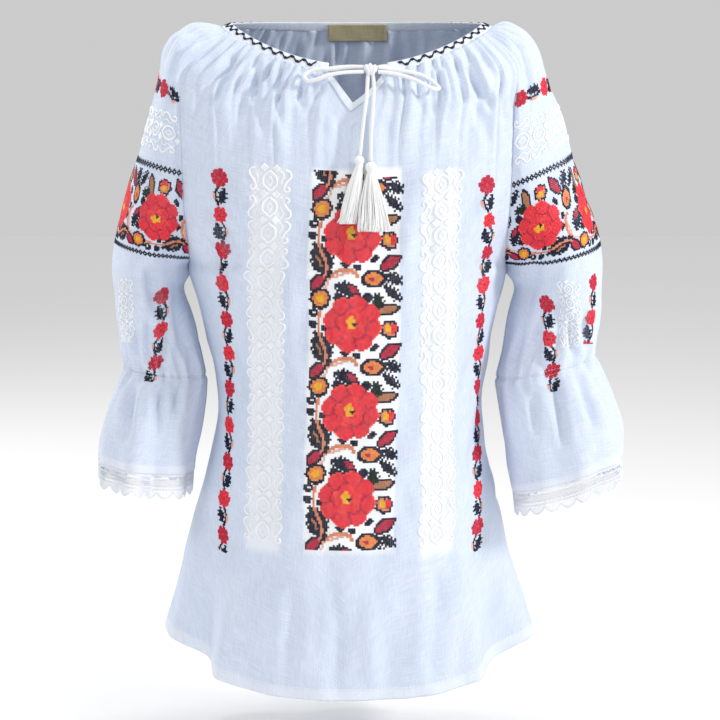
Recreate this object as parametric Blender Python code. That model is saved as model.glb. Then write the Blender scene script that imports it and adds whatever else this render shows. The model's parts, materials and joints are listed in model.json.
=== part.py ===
# Gathered folk blouse with a drawstring neck, three-quarter sleeves and lace at the cuffs.
# It keeps the hollow form that it has when worn. Tables are in millimetres, +Z is up and
# the front faces -Y. The origin is the middle of the neck, level with the shoulders.
import math
from collections import namedtuple

import bmesh
import bpy
from mathutils import Vector

MM = 0.001
WALL = 1.8              # thickness of the cloth wall
SEAM_GAP = 0.3          # space between two pieces at a seam
HEM_EXTRA = 0.9         # the turned hem makes the wall thicker on the inside

# Neck opening
NECK_MID_X = 5.0
NECK_HALF_WIDTH = 138.0
NECK_FRONT_Y = 88.0
NECK_BACK_Y = 74.0
NECK_FRONT_Z = -53.0
NECK_BACK_Z = -12.0
NECK_SIDE_Z = -8.5
RAGLAN_TURN = 69.2      # degrees from the middle of the front to the sleeve seam

# Panels
FRONT_COLUMNS = 48
BACK_COLUMNS = 32
UNDERARM_ROW = 10
PANEL_FULLNESS = 0.92   # below 1 the front and the back stand fuller than a plain arc
BUST_Z = -300           # a level sinks towards its edges, more evenly above this height
UPPER_SINK = 2.0
LOWER_SINK = 3.2
PANEL_GATHER = 2.2      # height of the gathers below the neck binding
NECK_GATHER = 0.5       # the binding squeezes them flatter
PANEL_GATHER_ROWS = 6   # rows until the gathers have run out
GATHER_MEAN = 0.75      # the gathers' heights vary round this share, by the next one
GATHER_SWING = 0.25
GATHER_STEP = 2.3
FOLD_LEAN = 0.7         # a short fold is highest above its middle

# Slit at the middle of the front
SLIT_HALF_WIDTH = 29.0
SLIT_ROWS = 1.65        # depth of the slit, counted in rows of the front
SLIT_SETTLE_ROW = 4
SLIT_BAND_LENGTH = 10.0
SLIT_BAND_WALL = 1.2
SLIT_BAND_GAP = 0.4
SLIT_BAND_REACH = 0.98  # it ends inside the front's first row

# Sleeves
SLEEVE_COLUMNS = 28     # from the front seam round the outside to the back seam
CUFF_ROW = 14
FOLD_ROW = 6            # the sleeve's inner edge folds ever sharper from here to the underarm
UNDERARM_FOLD = 0.72    # 1 is round
CUFF_GATHER = 2.4
CUFF_GATHER_ROWS = 3
SHOULDER_GATHER = 1.6
SHOULDER_GATHER_ROWS = 4
FRILL_WAVES = 7
FRILL_WAVE = 4.5        # heights of the frill's even waves and of its slow ones
SLOW_WAVES = 3
SLOW_WAVE = 2.5
WAVE_MEAN = 0.62        # the waves are larger on the outside of the arm
WAVE_SWING = 0.38
LEFT_WAVE_PHASE = 0.6
RIGHT_WAVE_PHASE = 2.2
CENTRE_DEPTH = 0.2      # a sleeve's wall points away from a line at this share of its depth

# Lace
LACE_LENGTH = 25.0
SCALLOP_RISE = 4.0
LACE_WALL = 1.4
LACE_GAP = 0.5

# Neck binding
BINDING_STEPS = 60
BINDING_HEIGHT = 9.5
BINDING_WALL = 3.0
BINDING_RIGHT_X = 36.0  # its two ends, either side of the slit
BINDING_LEFT_X = -23.5
BINDING_FRONT_LEAN = 28 # degrees that its face looks up, in front and at the shoulders
BINDING_SIDE_LEAN = 66
BINDING_FRONT_RISE = 0.5    # how far its foot stands above the cloth's edge
BINDING_SIDE_RISE = 1.4

# Drawstring
CORD_DIAMETER = 4.0
CORD_STEP = 9.0
KNOT_CENTRE = (18.5, -98.5, -48.5)
CURVE_PARTS = 12        # points from which each piece of a cord's curve is measured
KNOT_RADII = (7.0, 6.0, 5.8)
KNOT_SIDES = 12
KNOT_LEVELS = 7
KNOT_CAP = 78           # degrees up and down at which its flat caps lie
TASSEL_PROFILE = [      # radius and height of the head, as shares of its radius
    (0.36, 0.93), (0.80, 0.60), (1.0, 0.05), (0.97, -0.5), (0.94, -0.95), (0.62, -1.0), (0.30, -1.0),
]
TASSEL_SIDES = 14
STRAND_INSET = 0.18     # space round each strand's root
STRAND_ROOTS = 0.8      # the outer strands start at this share of the head's radius
STRAND_TIP = 0.4
STRAND_UNEVEN = 3.0     # the strands' lengths differ by this much, by the next step
STRAND_STEP = 2.1

# Label
LABEL_WIDTH = 62.0
LABEL_WALL = 0.8
LABEL_STEPS = 8
LABEL_EDGES = ((0, 8.5, 2.3), (1, -10.0, 4.6))  # line, height and depth behind the neck's seam

CLOTH_ROUGHNESS = 0.9
CORD_ROUGHNESS = 0.8
TASSEL_ROUGHNESS = 0.85
SMOOTH_ANGLE = 40

CLOTH = (0.80, 0.86, 0.95)
TRIM = (0.86, 0.90, 0.96)
CORD = (0.88, 0.92, 0.97)
LABEL = (0.32, 0.28, 0.15)

# A level of the body: heights at the middle and at the edge of the front, the sideways middle and
# half width, the depths, how far the front has turned at its edge in degrees, then the back's own
# heights, depths and turn.
Level = namedtuple(
    "Level",
    "mid_z edge_z mid_x half mid_y edge_y turn back_mid_z back_edge_z back_mid_y back_edge_y back_turn",
)
LEVELS = [
    Level(-53, -14.1, 5.0, 129, -88, -31.3, 69.2, -12, -9, 74, 26.3, 69.2),
    Level(-70, -31, 4.0, 150, -97, -48, 60, -34, -29, 84, 44, 60),
    Level(-88, -50, -1.0, 167, -104, -58, 55, -56, -50, 93, 54, 55),
    Level(-107, -75, -4.0, 168, -110, -67, 52, -79, -75, 100, 61, 52),
    Level(-127, -100, -5.0, 167, -116, -72, 50, -103, -100, 105, 64, 50),
    Level(-148, -128, -5.0, 166, -120, -75, 50, -129, -128, 108, 66, 50),
    Level(-170, -157, -5.0, 165, -123, -76, 50, -157, -157, 110, 66, 50),
    Level(-192, -186, -5.0, 164, -125, -73, 52, -186, -186, 110, 63, 52),
    Level(-215, -214, -5.0, 162, -126, -62, 58, -214, -214, 108, 54, 58),
    Level(-236, -238, -5.0, 161, -126, -42, 68, -238, -238, 106, 36, 68),
    Level(-256, -256, -5.0, 163, -126, 0, 90, -256, -256, 104, 0, 90),
    Level(-295, -292, -4.0, 155, -124, 0, 90, -295, -292, 100, 0, 90),
    Level(-335, -330, -3.0, 146, -121, 1, 90, -335, -330, 96, 1, 90),
    Level(-375, -368, -3.0, 139, -118, 2, 90, -375, -368, 93, 2, 90),
    Level(-415, -405, -3.0, 137, -117, 3, 90, -415, -405, 92, 3, 90),
    Level(-455, -443, -4.0, 143, -117, 5, 90, -455, -443, 94, 5, 90),
    Level(-495, -480, -5.0, 151, -118, 7, 90, -495, -480, 98, 7, 90),
    Level(-535, -517, -6.0, 161, -119, 10, 90, -535, -517, 102, 10, 90),
    Level(-575, -552, -6.0, 170, -120, 12, 90, -575, -552, 107, 12, 90),
    Level(-615, -585, -5.0, 179, -121, 14, 90, -615, -585, 112, 14, 90),
    Level(-652, -615, -4.0, 188, -122, 16, 90, -652, -615, 116, 16, 90),
    Level(-684, -640, -3.0, 195, -124, 18, 90, -684, -640, 120, 18, 90),
]

# A fold: where it lies across the panel (-1 to 1) at its top and at its bottom, the heights
# between which it grows and fades, its height at the middle and at the bottom, its half width.
Fold = namedtuple("Fold", "top_u bottom_u top_z bottom_z peak foot width")
FRONT_FOLDS = [
    Fold(-0.72, -0.90, -36, -112, -5.0, 0, 0.070),
    Fold(-0.55, -0.60, -44, -125, -5.5, 0, 0.060),
    Fold(-0.44, -0.44, -46, -118, -4.5, 0, 0.050),
    Fold(-0.36, -0.34, -50, -150, 3.0, 0, 0.060),
    Fold(-0.02, -0.06, -86, -190, -3.5, 0, 0.055),
    Fold(0.12, 0.16, -70, -170, 2.5, 0, 0.060),
    Fold(0.30, 0.34, -58, -140, 2.5, 0, 0.050),
    Fold(0.48, 0.44, -46, -118, -5.0, 0, 0.055),
    Fold(0.62, 0.82, -40, -128, -6.0, 0, 0.070),
    Fold(0.80, 0.94, -34, -112, -4.5, 0, 0.060),
    Fold(-0.30, -0.34, -300, -690, -2.5, -4.0, 0.085),
    Fold(0.10, 0.12, -420, -690, -1.5, -3.5, 0.085),
    Fold(0.33, 0.30, -360, -690, 2.5, 3.0, 0.085),
    Fold(-0.47, -0.49, -480, -690, 1.5, 4.0, 0.070),
    Fold(0.49, 0.48, -470, -690, 1.5, 4.0, 0.070),
    Fold(-0.66, -0.67, -490, -690, -13, -34, 0.200),
    Fold(0.66, 0.66, -480, -690, -13, -33, 0.200),
]
BACK_FOLDS = [
    Fold(-0.60, -0.66, -30, -150, -5.0, 0, 0.080),
    Fold(-0.24, -0.26, -24, -170, -4.0, 0, 0.080),
    Fold(0.08, 0.10, -24, -190, -4.5, 0, 0.080),
    Fold(0.46, 0.52, -28, -160, -5.0, 0, 0.080),
    Fold(-0.66, -0.67, -470, -690, -11, -28, 0.210),
    Fold(-0.16, -0.20, -440, -690, -5, -13, 0.150),
    Fold(0.24, 0.22, -460, -690, -6, -15, 0.150),
    Fold(0.66, 0.67, -480, -690, -12, -29, 0.210),
]

# A row of the sleeve's cap runs from the front seam over the outside to the back seam: its outermost
# point, its reach to front and back, and whether it swings past its widest place before the seam.
CapRow = namedtuple("CapRow", "outer_x outer_z front back swings")
LEFT_CAP = [
    CapRow(154, -4.5, 58, 54, False),
    CapRow(177, -11, 63, 59, False),
    CapRow(192, -30, 69, 63, False),
    CapRow(198, -56, 72.5, 65, True),
    CapRow(206, -92, 76, 67, True),
    CapRow(219, -135, 78, 68, True),
    CapRow(232, -178, 78, 67, True),
    CapRow(242, -217, 75, 65, True),
    CapRow(246, -247, 71, 62, True),
    CapRow(245, -275, 67, 60, True),
]
RIGHT_CAP = [
    CapRow(158, -4, 58, 54, False),
    CapRow(177, -13, 63, 59, False),
    CapRow(190, -31, 69, 63, False),
    CapRow(198, -53, 72.5, 65, True),
    CapRow(209, -84, 76, 67, True),
    CapRow(221, -122, 78, 68, True),
    CapRow(235, -166, 78, 67, True),
    CapRow(250, -208, 75, 65, True),
    CapRow(258, -243, 71, 62, True),
    CapRow(258, -273, 67, 60, True),
]

# A ring of the sleeve below the underarm: its outer and inner points, its middle depth, its reach
# to front and back.
Ring = namedtuple("Ring", "outer_x outer_z inner_x inner_z mid_y front back")
LEFT_RINGS = [
    Ring(244, -300, 175, -273, -6, 63, 58),
    Ring(242, -322, 168, -300, -8, 57, 53),
    Ring(239, -341, 160, -333, -10, 49, 47),
    Ring(236.5, -356, 153.5, -366, -13, 43, 42),
    Ring(242, -370, 153, -379, -15, 47, 45),
    Ring(254, -398, 157, -407, -19, 54, 52),
    Ring(261, -428, 163, -438, -22, 59, 57),
    Ring(262.5, -451, 167, -463, -24, 62, 60),
]
RIGHT_RINGS = [
    Ring(257, -298, 169, -273, -6, 64, 59),
    Ring(255.5, -316, 163, -302, -8, 58, 54),
    Ring(253, -331, 158, -336, -10, 50, 48),
    Ring(251, -346, 153, -369, -13, 45, 43),
    Ring(257, -359, 153, -384, -15, 49, 47),
    Ring(269, -386, 156, -414, -18, 56, 54),
    Ring(278, -420, 161, -452, -21, 61, 59),
    Ring(279.5, -447, 167, -483, -23, 64, 62),
]

# Folds of a sleeve: the column where they lie (0 at the inner front, 14 outermost), the rows
# between which they run, their height and their half width in columns. A fold that ends past the
# last row grows all the way to the hem.
SleeveFold = namedtuple("SleeveFold", "column first last height width")
LEFT_SLEEVE_FOLDS = [
    SleeveFold(4.0, 1, 5, -5.0, 2.2),
    SleeveFold(9.0, 0, 4, -3.0, 2.2),
    SleeveFold(8.0, 9, 14, -3.0, 1.8),
    SleeveFold(5.4, 14, 19, -11.0, 1.8),
    SleeveFold(2.6, 14, 19, 4.0, 1.6),
    SleeveFold(22.0, 9, 14, -3.5, 1.8),
    SleeveFold(20.0, 14, 19, -7.0, 1.8),
]
RIGHT_SLEEVE_FOLDS = [
    SleeveFold(4.5, 1, 5, -4.0, 2.2),
    SleeveFold(10.0, 0, 4, -3.0, 2.2),
    SleeveFold(5.0, 9, 14, -3.0, 1.8),
    SleeveFold(6.3, 14, 19, -11.0, 1.8),
    SleeveFold(8.6, 14, 19, 4.0, 1.6),
    SleeveFold(23.0, 9, 14, -3.5, 1.8),
    SleeveFold(20.5, 14, 19, -7.0, 1.8),
]

# Routes of the drawstring, in the order in which it runs.
LEAD_LEFT = [(-22.6, -87.0, -48.0), (-12, -90.5, -46.4), (2, -92.4, -45.9), (12.9, -92.9, -47.0)]
LEAD_RIGHT = [(36.6, -86.9, -46.6), (32, -90.2, -45.6), (24.2, -93.2, -47.0)]
LOOP_LEFT = [
    (11.4, -98.4, -46.0), (-2, -97.4, -46.4), (-19, -95.6, -48.4), (-32, -93.4, -48.8),
    (-41.5, -93.0, -50.6), (-47, -97.5, -55.2), (-43, -103.0, -60.0), (-33, -105.0, -57.6),
    (-22, -105.0, -53.6), (-8, -104.0, -51.4), (4, -102.6, -50.8), (11.8, -101.4, -50.6),
]
LOOP_RIGHT = [
    (26.1, -98.4, -46.4), (38, -95.6, -48.4), (54, -92.4, -50.6), (66.5, -90.6, -53.4),
    (76, -90.4, -57.8), (83.6, -92.6, -63.6), (86.2, -97.6, -67.2), (81.6, -103.2, -67.6),
    (72, -105.4, -63.4), (62, -105.4, -58.4), (51, -104.8, -54.8), (38, -103.2, -52.0),
    (26.0, -101.0, -50.8),
]
TAIL_LEFT = [
    (16.0, -99.6, -54.7), (15.3, -102.6, -64), (14.4, -107.4, -77), (12.4, -112.2, -91),
    (10.4, -117.0, -108), (8.8, -121.8, -124), (8.0, -124.1, -131.8),
]
TAIL_RIGHT = [
    (20.9, -99.6, -54.6), (21.6, -103.2, -66), (21.2, -108.2, -80), (20.0, -113.0, -95),
    (18.9, -117.8, -113), (18.6, -122.0, -129), (18.6, -124.2, -137.8),
]

# A tassel: the middle of its head, the head's radius, the middle of its tips, the half width and
# half depth at the tips.
Tassel = namedtuple("Tassel", "name head radius tips half_width half_depth")
TASSELS = [
    Tassel("tassel_left", (7.4, -126.6, -136.6), 5.0, (-3.9, -134.6, -197.5), 8.8, 5.0),
    Tassel("tassel_right", (18.7, -127.1, -143.4), 5.8, (21.6, -141.8, -204.5), 16.6, 4.6),
]


def lerp(a, b, t):
    return a + (b - a) * t


def blend_level(row):
    """The level at a row that may lie between two levels."""
    low = min(int(row), len(LEVELS) - 2)
    t = row - low
    return Level(*[lerp(a, b, t) for a, b in zip(LEVELS[low], LEVELS[low + 1])])


def arc_point(level, u, front):
    """A point of the front or the back: u runs from -1 at the left seam to 1 at the right."""
    if front:
        mid_z, edge_z, mid_y, edge_y, turn = level.mid_z, level.edge_z, level.mid_y, level.edge_y, level.turn
    else:
        mid_z, edge_z, mid_y, edge_y, turn = (
            level.back_mid_z, level.back_edge_z, level.back_mid_y, level.back_edge_y, level.back_turn
        )
    full = math.radians(turn)
    side = math.sin(u * full) / math.sin(full)
    depth = (math.cos(u * full) - math.cos(full)) / (1.0 - math.cos(full))
    sink = UPPER_SINK if mid_z > BUST_Z else LOWER_SINK
    return Vector((
        level.mid_x + level.half * side,
        lerp(edge_y, mid_y, max(depth, 0.0) ** PANEL_FULLNESS),
        lerp(mid_z, edge_z, abs(side) ** sink),
    ))


def slit_share(u):
    """1 at the middle of the slit and 0 at its sides."""
    level = LEVELS[0]
    full = math.radians(level.turn)
    reach = abs(level.half * math.sin(u * full) / math.sin(full))
    return max(0.0, 1.0 - reach / SLIT_HALF_WIDTH)


def panel_grid(front, columns):
    grid = []
    for i in range(len(LEVELS)):
        line = []
        for j in range(columns + 1):
            u = 2.0 * j / columns - 1.0
            row = float(i)
            if front and i < SLIT_SETTLE_ROW:
                start = slit_share(u) * SLIT_ROWS
                row = lerp(start, SLIT_SETTLE_ROW, i / SLIT_SETTLE_ROW)
            line.append(arc_point(blend_level(row), u, front))
        grid.append(line)
    return grid


def neck_point(turn):
    """A point of the seam between the cloth and the neck binding; turn 0 is the middle front."""
    a = math.radians(turn)
    s, c = math.sin(a), math.cos(a)
    if c > 0:
        y, z = -NECK_FRONT_Y * c, lerp(NECK_FRONT_Z, NECK_SIDE_Z, s * s)
    else:
        y, z = -NECK_BACK_Y * c, lerp(NECK_BACK_Z, NECK_SIDE_Z, s * s)
    return Vector((NECK_MID_X + NECK_HALF_WIDTH * s, y, z))


def row_points(outer, start, end, front, back, swings, fold):
    """A row of the sleeve from its front seam point round the outside to its back seam point."""
    row = []
    for j in range(SLEEVE_COLUMNS + 1):
        share = 1.0 - 2.0 * j / SLEEVE_COLUMNS
        seam, reach = (start, front) if share > 0 else (end, back)
        full = math.asin(min(1.0, abs(seam.y - outer.y) / reach))
        if swings:
            full = math.pi - full
        angle = abs(share) * full
        weight = max(0.0, (math.cos(angle) - math.cos(full)) / (1.0 - math.cos(full)))
        p = seam.lerp(outer, weight ** fold)
        p.y = outer.y - math.copysign(reach * math.sin(angle), share)
        row.append(p)
    return row


def sleeve_grid(side, cap, rings, front, back):
    """Rows of points from the neck to the frill's hem; side is -1 for the left sleeve."""
    column = 0 if side < 0 else -1
    first = []
    for j in range(SLEEVE_COLUMNS + 1):
        turn = lerp(RAGLAN_TURN, 180.0 - RAGLAN_TURN, j / SLEEVE_COLUMNS)
        first.append(neck_point(side * turn))
    first[0], first[-1] = front[0][column].copy(), back[0][column].copy()
    grid = [first]
    for i, row in enumerate(cap, start=1):
        outer = Vector((side * row.outer_x, 0.0, row.outer_z))
        fold = lerp(1.0, UNDERARM_FOLD, max(0.0, i - FOLD_ROW) / (UNDERARM_ROW - FOLD_ROW))
        start, end = front[i][column], back[i][column]
        points = row_points(outer, start, end, row.front, row.back, row.swings, fold)
        points[0], points[-1] = start.copy(), end.copy()
        grid.append(points)
    for i, ring in enumerate(rings, start=UNDERARM_ROW + 1):
        outer = Vector((side * ring.outer_x, ring.mid_y, ring.outer_z))
        inner = Vector((side * ring.inner_x, ring.mid_y, ring.inner_z))
        fold = lerp(1.0, UNDERARM_FOLD, max(0.0, CUFF_ROW - i) / (CUFF_ROW - UNDERARM_ROW))
        grid.append(row_points(outer, inner, inner, ring.front, ring.back, True, fold))
    return grid


def grid_normals(grid, joined):
    """Outward unit vectors; from the joined row on, the last column meets the first."""
    rows, columns = len(grid), len(grid[0])
    normals = []
    for i in range(rows):
        centre = sum(grid[i], Vector()) / columns
        centre.y *= CENTRE_DEPTH
        if joined is None:
            centre = Vector((centre.x, 0.0, centre.z))
        line = []
        for j in range(columns):
            if joined is not None and i >= joined and j in (0, columns - 1):
                left, right = grid[i][-2], grid[i][1]
            else:
                left, right = grid[i][max(j - 1, 0)], grid[i][min(j + 1, columns - 1)]
            up, down = grid[max(i - 1, 0)][j], grid[min(i + 1, rows - 1)][j]
            n = (down - up).cross(right - left).normalized()
            if n.dot(grid[i][j] - centre) < 0:
                n = -n
            line.append(n)
        normals.append(line)
    return normals


def share_normals(*places):
    """Pieces that meet at a seam have the same wall direction there."""
    mean = sum((normals[i][j] for normals, i, j in places), Vector()).normalized()
    for normals, i, j in places:
        normals[i][j] = mean.copy()


def seam_shift(point, before, after, inside, normal):
    """Half of the seam's gap, in the cloth's plane, away from the seam."""
    across = (after - before).cross(normal).normalized()
    if across.dot(inside - point) < 0:
        across = -across
    return across * (SEAM_GAP / 2)


def bump(t):
    return 0.5 * (1.0 + math.cos(math.pi * t)) if abs(t) < 1.0 else 0.0


def panel_relief(grid, folds, columns):
    """Height of the folds and gathers over each point of a panel."""
    relief = []
    for i, line in enumerate(grid):
        heights = []
        for j, p in enumerate(line):
            u = 2.0 * j / columns - 1.0
            height = 0.0
            for fold in folds:
                t = (fold.top_z - p.z) / (fold.top_z - fold.bottom_z)
                if not 0.0 < t < 1.0:
                    continue
                if fold.foot:
                    size = lerp(0.0, fold.peak, min(1.0, t * 2)) if t < 0.5 else lerp(
                        fold.peak, fold.foot, t * 2 - 1)
                else:
                    size = fold.peak * math.sin(math.pi * t ** FOLD_LEAN)
                height += size * bump((u - lerp(fold.top_u, fold.bottom_u, t)) / fold.width)
            fade = max(0.0, 1.0 - i / PANEL_GATHER_ROWS)
            uneven = GATHER_MEAN + GATHER_SWING * math.sin(j * GATHER_STEP)
            gather = NECK_GATHER if i == 0 else PANEL_GATHER * fade * uneven
            if folds is FRONT_FOLDS and i < 2 and slit_share(u) > 0:
                gather = 0.0
            height += gather * (1 if j % 2 else -1)
            if j in (0, columns):
                height = 0.0
            heights.append(height)
        relief.append(heights)
    return relief


def sleeve_relief(grid, folds, phase):
    relief = []
    last = len(grid) - 1
    for i in range(len(grid)):
        heights = []
        for j in range(SLEEVE_COLUMNS + 1):
            ridge = 1 if j % 2 else -1
            height = 0.0
            if i < SHOULDER_GATHER_ROWS:
                fade = 1 - i / SHOULDER_GATHER_ROWS
                height += ridge * (NECK_GATHER if i == 0 else SHOULDER_GATHER * fade)
            near_cuff = 1.0 - abs(i - CUFF_ROW) / CUFF_GATHER_ROWS
            if near_cuff > 0:
                height += CUFF_GATHER * near_cuff * ridge
            a = 2 * math.pi * j / SLEEVE_COLUMNS
            if i > CUFF_ROW:
                open_share = (i - CUFF_ROW) / (last - CUFF_ROW)
                outside = WAVE_MEAN - WAVE_SWING * math.cos(a)
                wave = FRILL_WAVE * math.cos(FRILL_WAVES * a + phase)
                wave += SLOW_WAVE * math.cos(SLOW_WAVES * a + 2 * phase)
                height += wave * open_share * outside
            for fold in folds:
                t = (i - fold.first) / (fold.last - fold.first)
                if not 0.0 < t < 1.0:
                    continue
                size = fold.height * (t if fold.last > last else math.sin(math.pi * t))
                height += size * bump((j - fold.column) / fold.width)
            if i <= UNDERARM_ROW and j in (0, SLEEVE_COLUMNS):
                height = 0.0
            heights.append(height)
        relief.append(heights)
    return relief


def new_material(name, colour, roughness):
    material = bpy.data.materials.new(name)
    material.use_nodes = True
    shader = material.node_tree.nodes["Principled BSDF"]
    shader.inputs["Base Color"].default_value = (*colour, 1.0)
    shader.inputs["Roughness"].default_value = roughness
    shader.inputs["Metallic"].default_value = 0.0
    return material


def add_object(name, points, faces, colour, roughness=CLOTH_ROUGHNESS):
    """One closed solid from points in millimetres."""
    mesh = bpy.data.meshes.new(name)
    mesh.from_pydata([tuple(Vector(p) * MM) for p in points], [], faces)
    form = bmesh.new()
    form.from_mesh(mesh)
    bmesh.ops.recalc_face_normals(form, faces=form.faces)
    form.to_mesh(mesh)
    form.free()
    mesh.shade_smooth()
    mesh.set_sharp_from_angle(angle=math.radians(SMOOTH_ANGLE))
    mesh.materials.append(new_material(name, colour, roughness))
    obj = bpy.data.objects.new(name, mesh)
    bpy.context.scene.collection.objects.link(obj)
    return obj


def rim_faces(a, b, offset):
    """Two triangles across a wall's edge, split the same way on both sides of a seam."""
    return [(a, offset + a, offset + b), (a, offset + b, b)]


def add_wall(name, outer, inner, joined, colour):
    """A wall between two grids of points. From the joined row on, its sides meet in a tube."""
    rows, columns = len(outer), len(outer[0])
    index = {}
    points = []
    for i in range(rows):
        for j in range(columns):
            if joined is not None and i >= joined and j == columns - 1:
                index[i, j] = index[i, 0]
            else:
                index[i, j] = len(points)
                points.append(outer[i][j])
    offset = len(points)
    for i in range(rows):
        for j in range(columns):
            if index[i, j] != index[i, 0] or j == 0:
                points.append(inner[i][j])
    faces = []
    for i in range(rows - 1):
        for j in range(columns - 1):
            a, b = index[i, j], index[i, j + 1]
            c, d = index[i + 1, j + 1], index[i + 1, j]
            for tri in ((a, b, c), (a, c, d)):
                faces.append(tri)
                faces.append(tuple(offset + v for v in reversed(tri)))
    for i in (0, rows - 1):
        for j in range(columns - 1):
            faces += rim_faces(index[i, j], index[i, j + 1], offset)
    open_rows = rows - 1 if joined is None else joined
    for i in range(open_rows):
        for j in (0, columns - 1):
            faces += rim_faces(index[i, j], index[i + 1, j], offset)
    return add_object(name, points, faces, colour)


def wall_points(grid, normals, relief, extra_inside):
    """The outer and inner points of a wall, with its relief on both sides."""
    outer, inner = [], []
    for i, line in enumerate(grid):
        outer.append([p + normals[i][j] * (relief[i][j] + WALL / 2) for j, p in enumerate(line)])
        depth = WALL / 2 + extra_inside[i]
        inner.append([p + normals[i][j] * (relief[i][j] - depth) for j, p in enumerate(line)])
    return outer, inner


def open_seams(grid, normals, last):
    """Opens the seam gap along both side edges of a piece, down to its last row of seam."""
    moved = [[p.copy() for p in line] for line in grid]
    for i in range(last + 1):
        for j, k in ((0, 1), (-1, -2)):
            before, after = grid[max(i - 1, 0)][j], grid[min(i + 1, last)][j]
            moved[i][j] += seam_shift(grid[i][j], before, after, grid[i][k], normals[i][j])
    return moved


def open_armhole(grid, normals):
    """The same for a sleeve, whose two edges meet in one point under the arm."""
    moved = open_seams(grid, normals, UNDERARM_ROW - 1)
    under = grid[UNDERARM_ROW]
    front_side, back_side = grid[UNDERARM_ROW - 1][0], grid[UNDERARM_ROW - 1][-1]
    below = grid[UNDERARM_ROW + 1][0]
    shift = seam_shift(under[0], front_side, back_side, below, normals[UNDERARM_ROW][0])
    moved[UNDERARM_ROW][0] = under[0] + shift
    moved[UNDERARM_ROW][-1] = under[0] + shift
    return moved


def add_slit_band(outer, normals):
    """The bias band round the slit lies on the front's own points, moved out."""
    low_lines = [[], []]
    high_lines = [[], []]
    for j in range(FRONT_COLUMNS + 1):
        if slit_share(2.0 * j / FRONT_COLUMNS - 1.0) <= 0:
            continue
        edge, below = outer[0][j], outer[1][j]
        share = SLIT_BAND_LENGTH / (below - edge).length
        foot = edge.lerp(below, min(share, SLIT_BAND_REACH))
        for n, p in ((0, edge), (1, foot)):
            normal = normals[0][j].lerp(normals[1][j], n * share).normalized()
            low_lines[n].append(p + normal * SLIT_BAND_GAP)
            high_lines[n].append(p + normal * (SLIT_BAND_GAP + SLIT_BAND_WALL))
    add_wall("slit_binding", high_lines, low_lines, None, TRIM)


def binding_axes(turn):
    """Directions of the neck binding: out of its face and up its height."""
    a = math.radians(turn)
    depth = NECK_FRONT_Y if math.cos(a) > 0 else NECK_BACK_Y
    out = Vector((math.sin(a) / NECK_HALF_WIDTH, -math.cos(a) / depth, 0)).normalized()
    lean = math.radians(lerp(BINDING_FRONT_LEAN, BINDING_SIDE_LEAN, math.sin(a) ** 2))
    face = out * math.cos(lean) + Vector((0, 0, math.sin(lean)))
    up = -out * math.sin(lean) + Vector((0, 0, math.cos(lean)))
    return face, up


def add_neck_binding():
    """One strip from the right of the slit round the back to its left."""
    start = math.degrees(math.asin((BINDING_RIGHT_X - NECK_MID_X) / NECK_HALF_WIDTH))
    end = 360.0 + math.degrees(math.asin((BINDING_LEFT_X - NECK_MID_X) / NECK_HALF_WIDTH))
    outer, inner = [[], []], [[], []]
    for k in range(BINDING_STEPS + 1):
        turn = lerp(start, end, k / BINDING_STEPS)
        face, up = binding_axes(turn)
        side = math.sin(math.radians(turn)) ** 2
        foot = neck_point(turn) + up * lerp(BINDING_FRONT_RISE, BINDING_SIDE_RISE, side)
        for n, height in ((0, BINDING_HEIGHT), (1, 0.0)):
            outer[n].append(foot + up * height + face * (BINDING_WALL / 2))
            inner[n].append(foot + up * height - face * (BINDING_WALL / 2))
    add_wall("neck_binding", outer, inner, None, TRIM)


def add_label():
    """A blank woven label on the inside of the back neck."""
    outer, inner = [[], []], [[], []]
    reach = math.degrees(math.asin(LABEL_WIDTH / 2 / NECK_HALF_WIDTH))
    for k in range(LABEL_STEPS + 1):
        turn = 180.0 + lerp(-reach, reach, k / LABEL_STEPS)
        face, up = binding_axes(turn)
        for n, height, depth in LABEL_EDGES:
            p = neck_point(turn) + up * height - face * depth
            outer[n].append(p + face * (LABEL_WALL / 2))
            inner[n].append(p - face * (LABEL_WALL / 2))
    add_wall("label", outer, inner, None, LABEL)


def add_lace(name, outer, inner):
    """A scalloped band below the frill, two columns to each column of the frill."""
    hem_out, hem_in, above = outer[-1], inner[-1], outer[-2]
    lines_out, lines_in = [[], []], [[], []]
    for n in range(2 * SLEEVE_COLUMNS + 1):
        j, part = divmod(n, 2)
        k, share = min(j + 1, SLEEVE_COLUMNS), part / 2
        face = hem_out[j].lerp(hem_out[k], share)
        mid = (face + hem_in[j].lerp(hem_in[k], share)) / 2
        out = (face - mid).normalized()
        down = mid - above[j].lerp(above[k], share)
        down = (down - out * down.dot(out)).normalized()
        down = (down + Vector((0, 0, -1))).normalized()
        length = LACE_LENGTH - (SCALLOP_RISE if part else 0.0)
        top = mid + down * LACE_GAP
        for line, drop in ((0, 0.0), (1, length)):
            lines_out[line].append(top + down * drop + out * (LACE_WALL / 2))
            lines_in[line].append(top + down * drop - out * (LACE_WALL / 2))
    add_wall(name, lines_out, lines_in, 0, TRIM)


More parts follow.
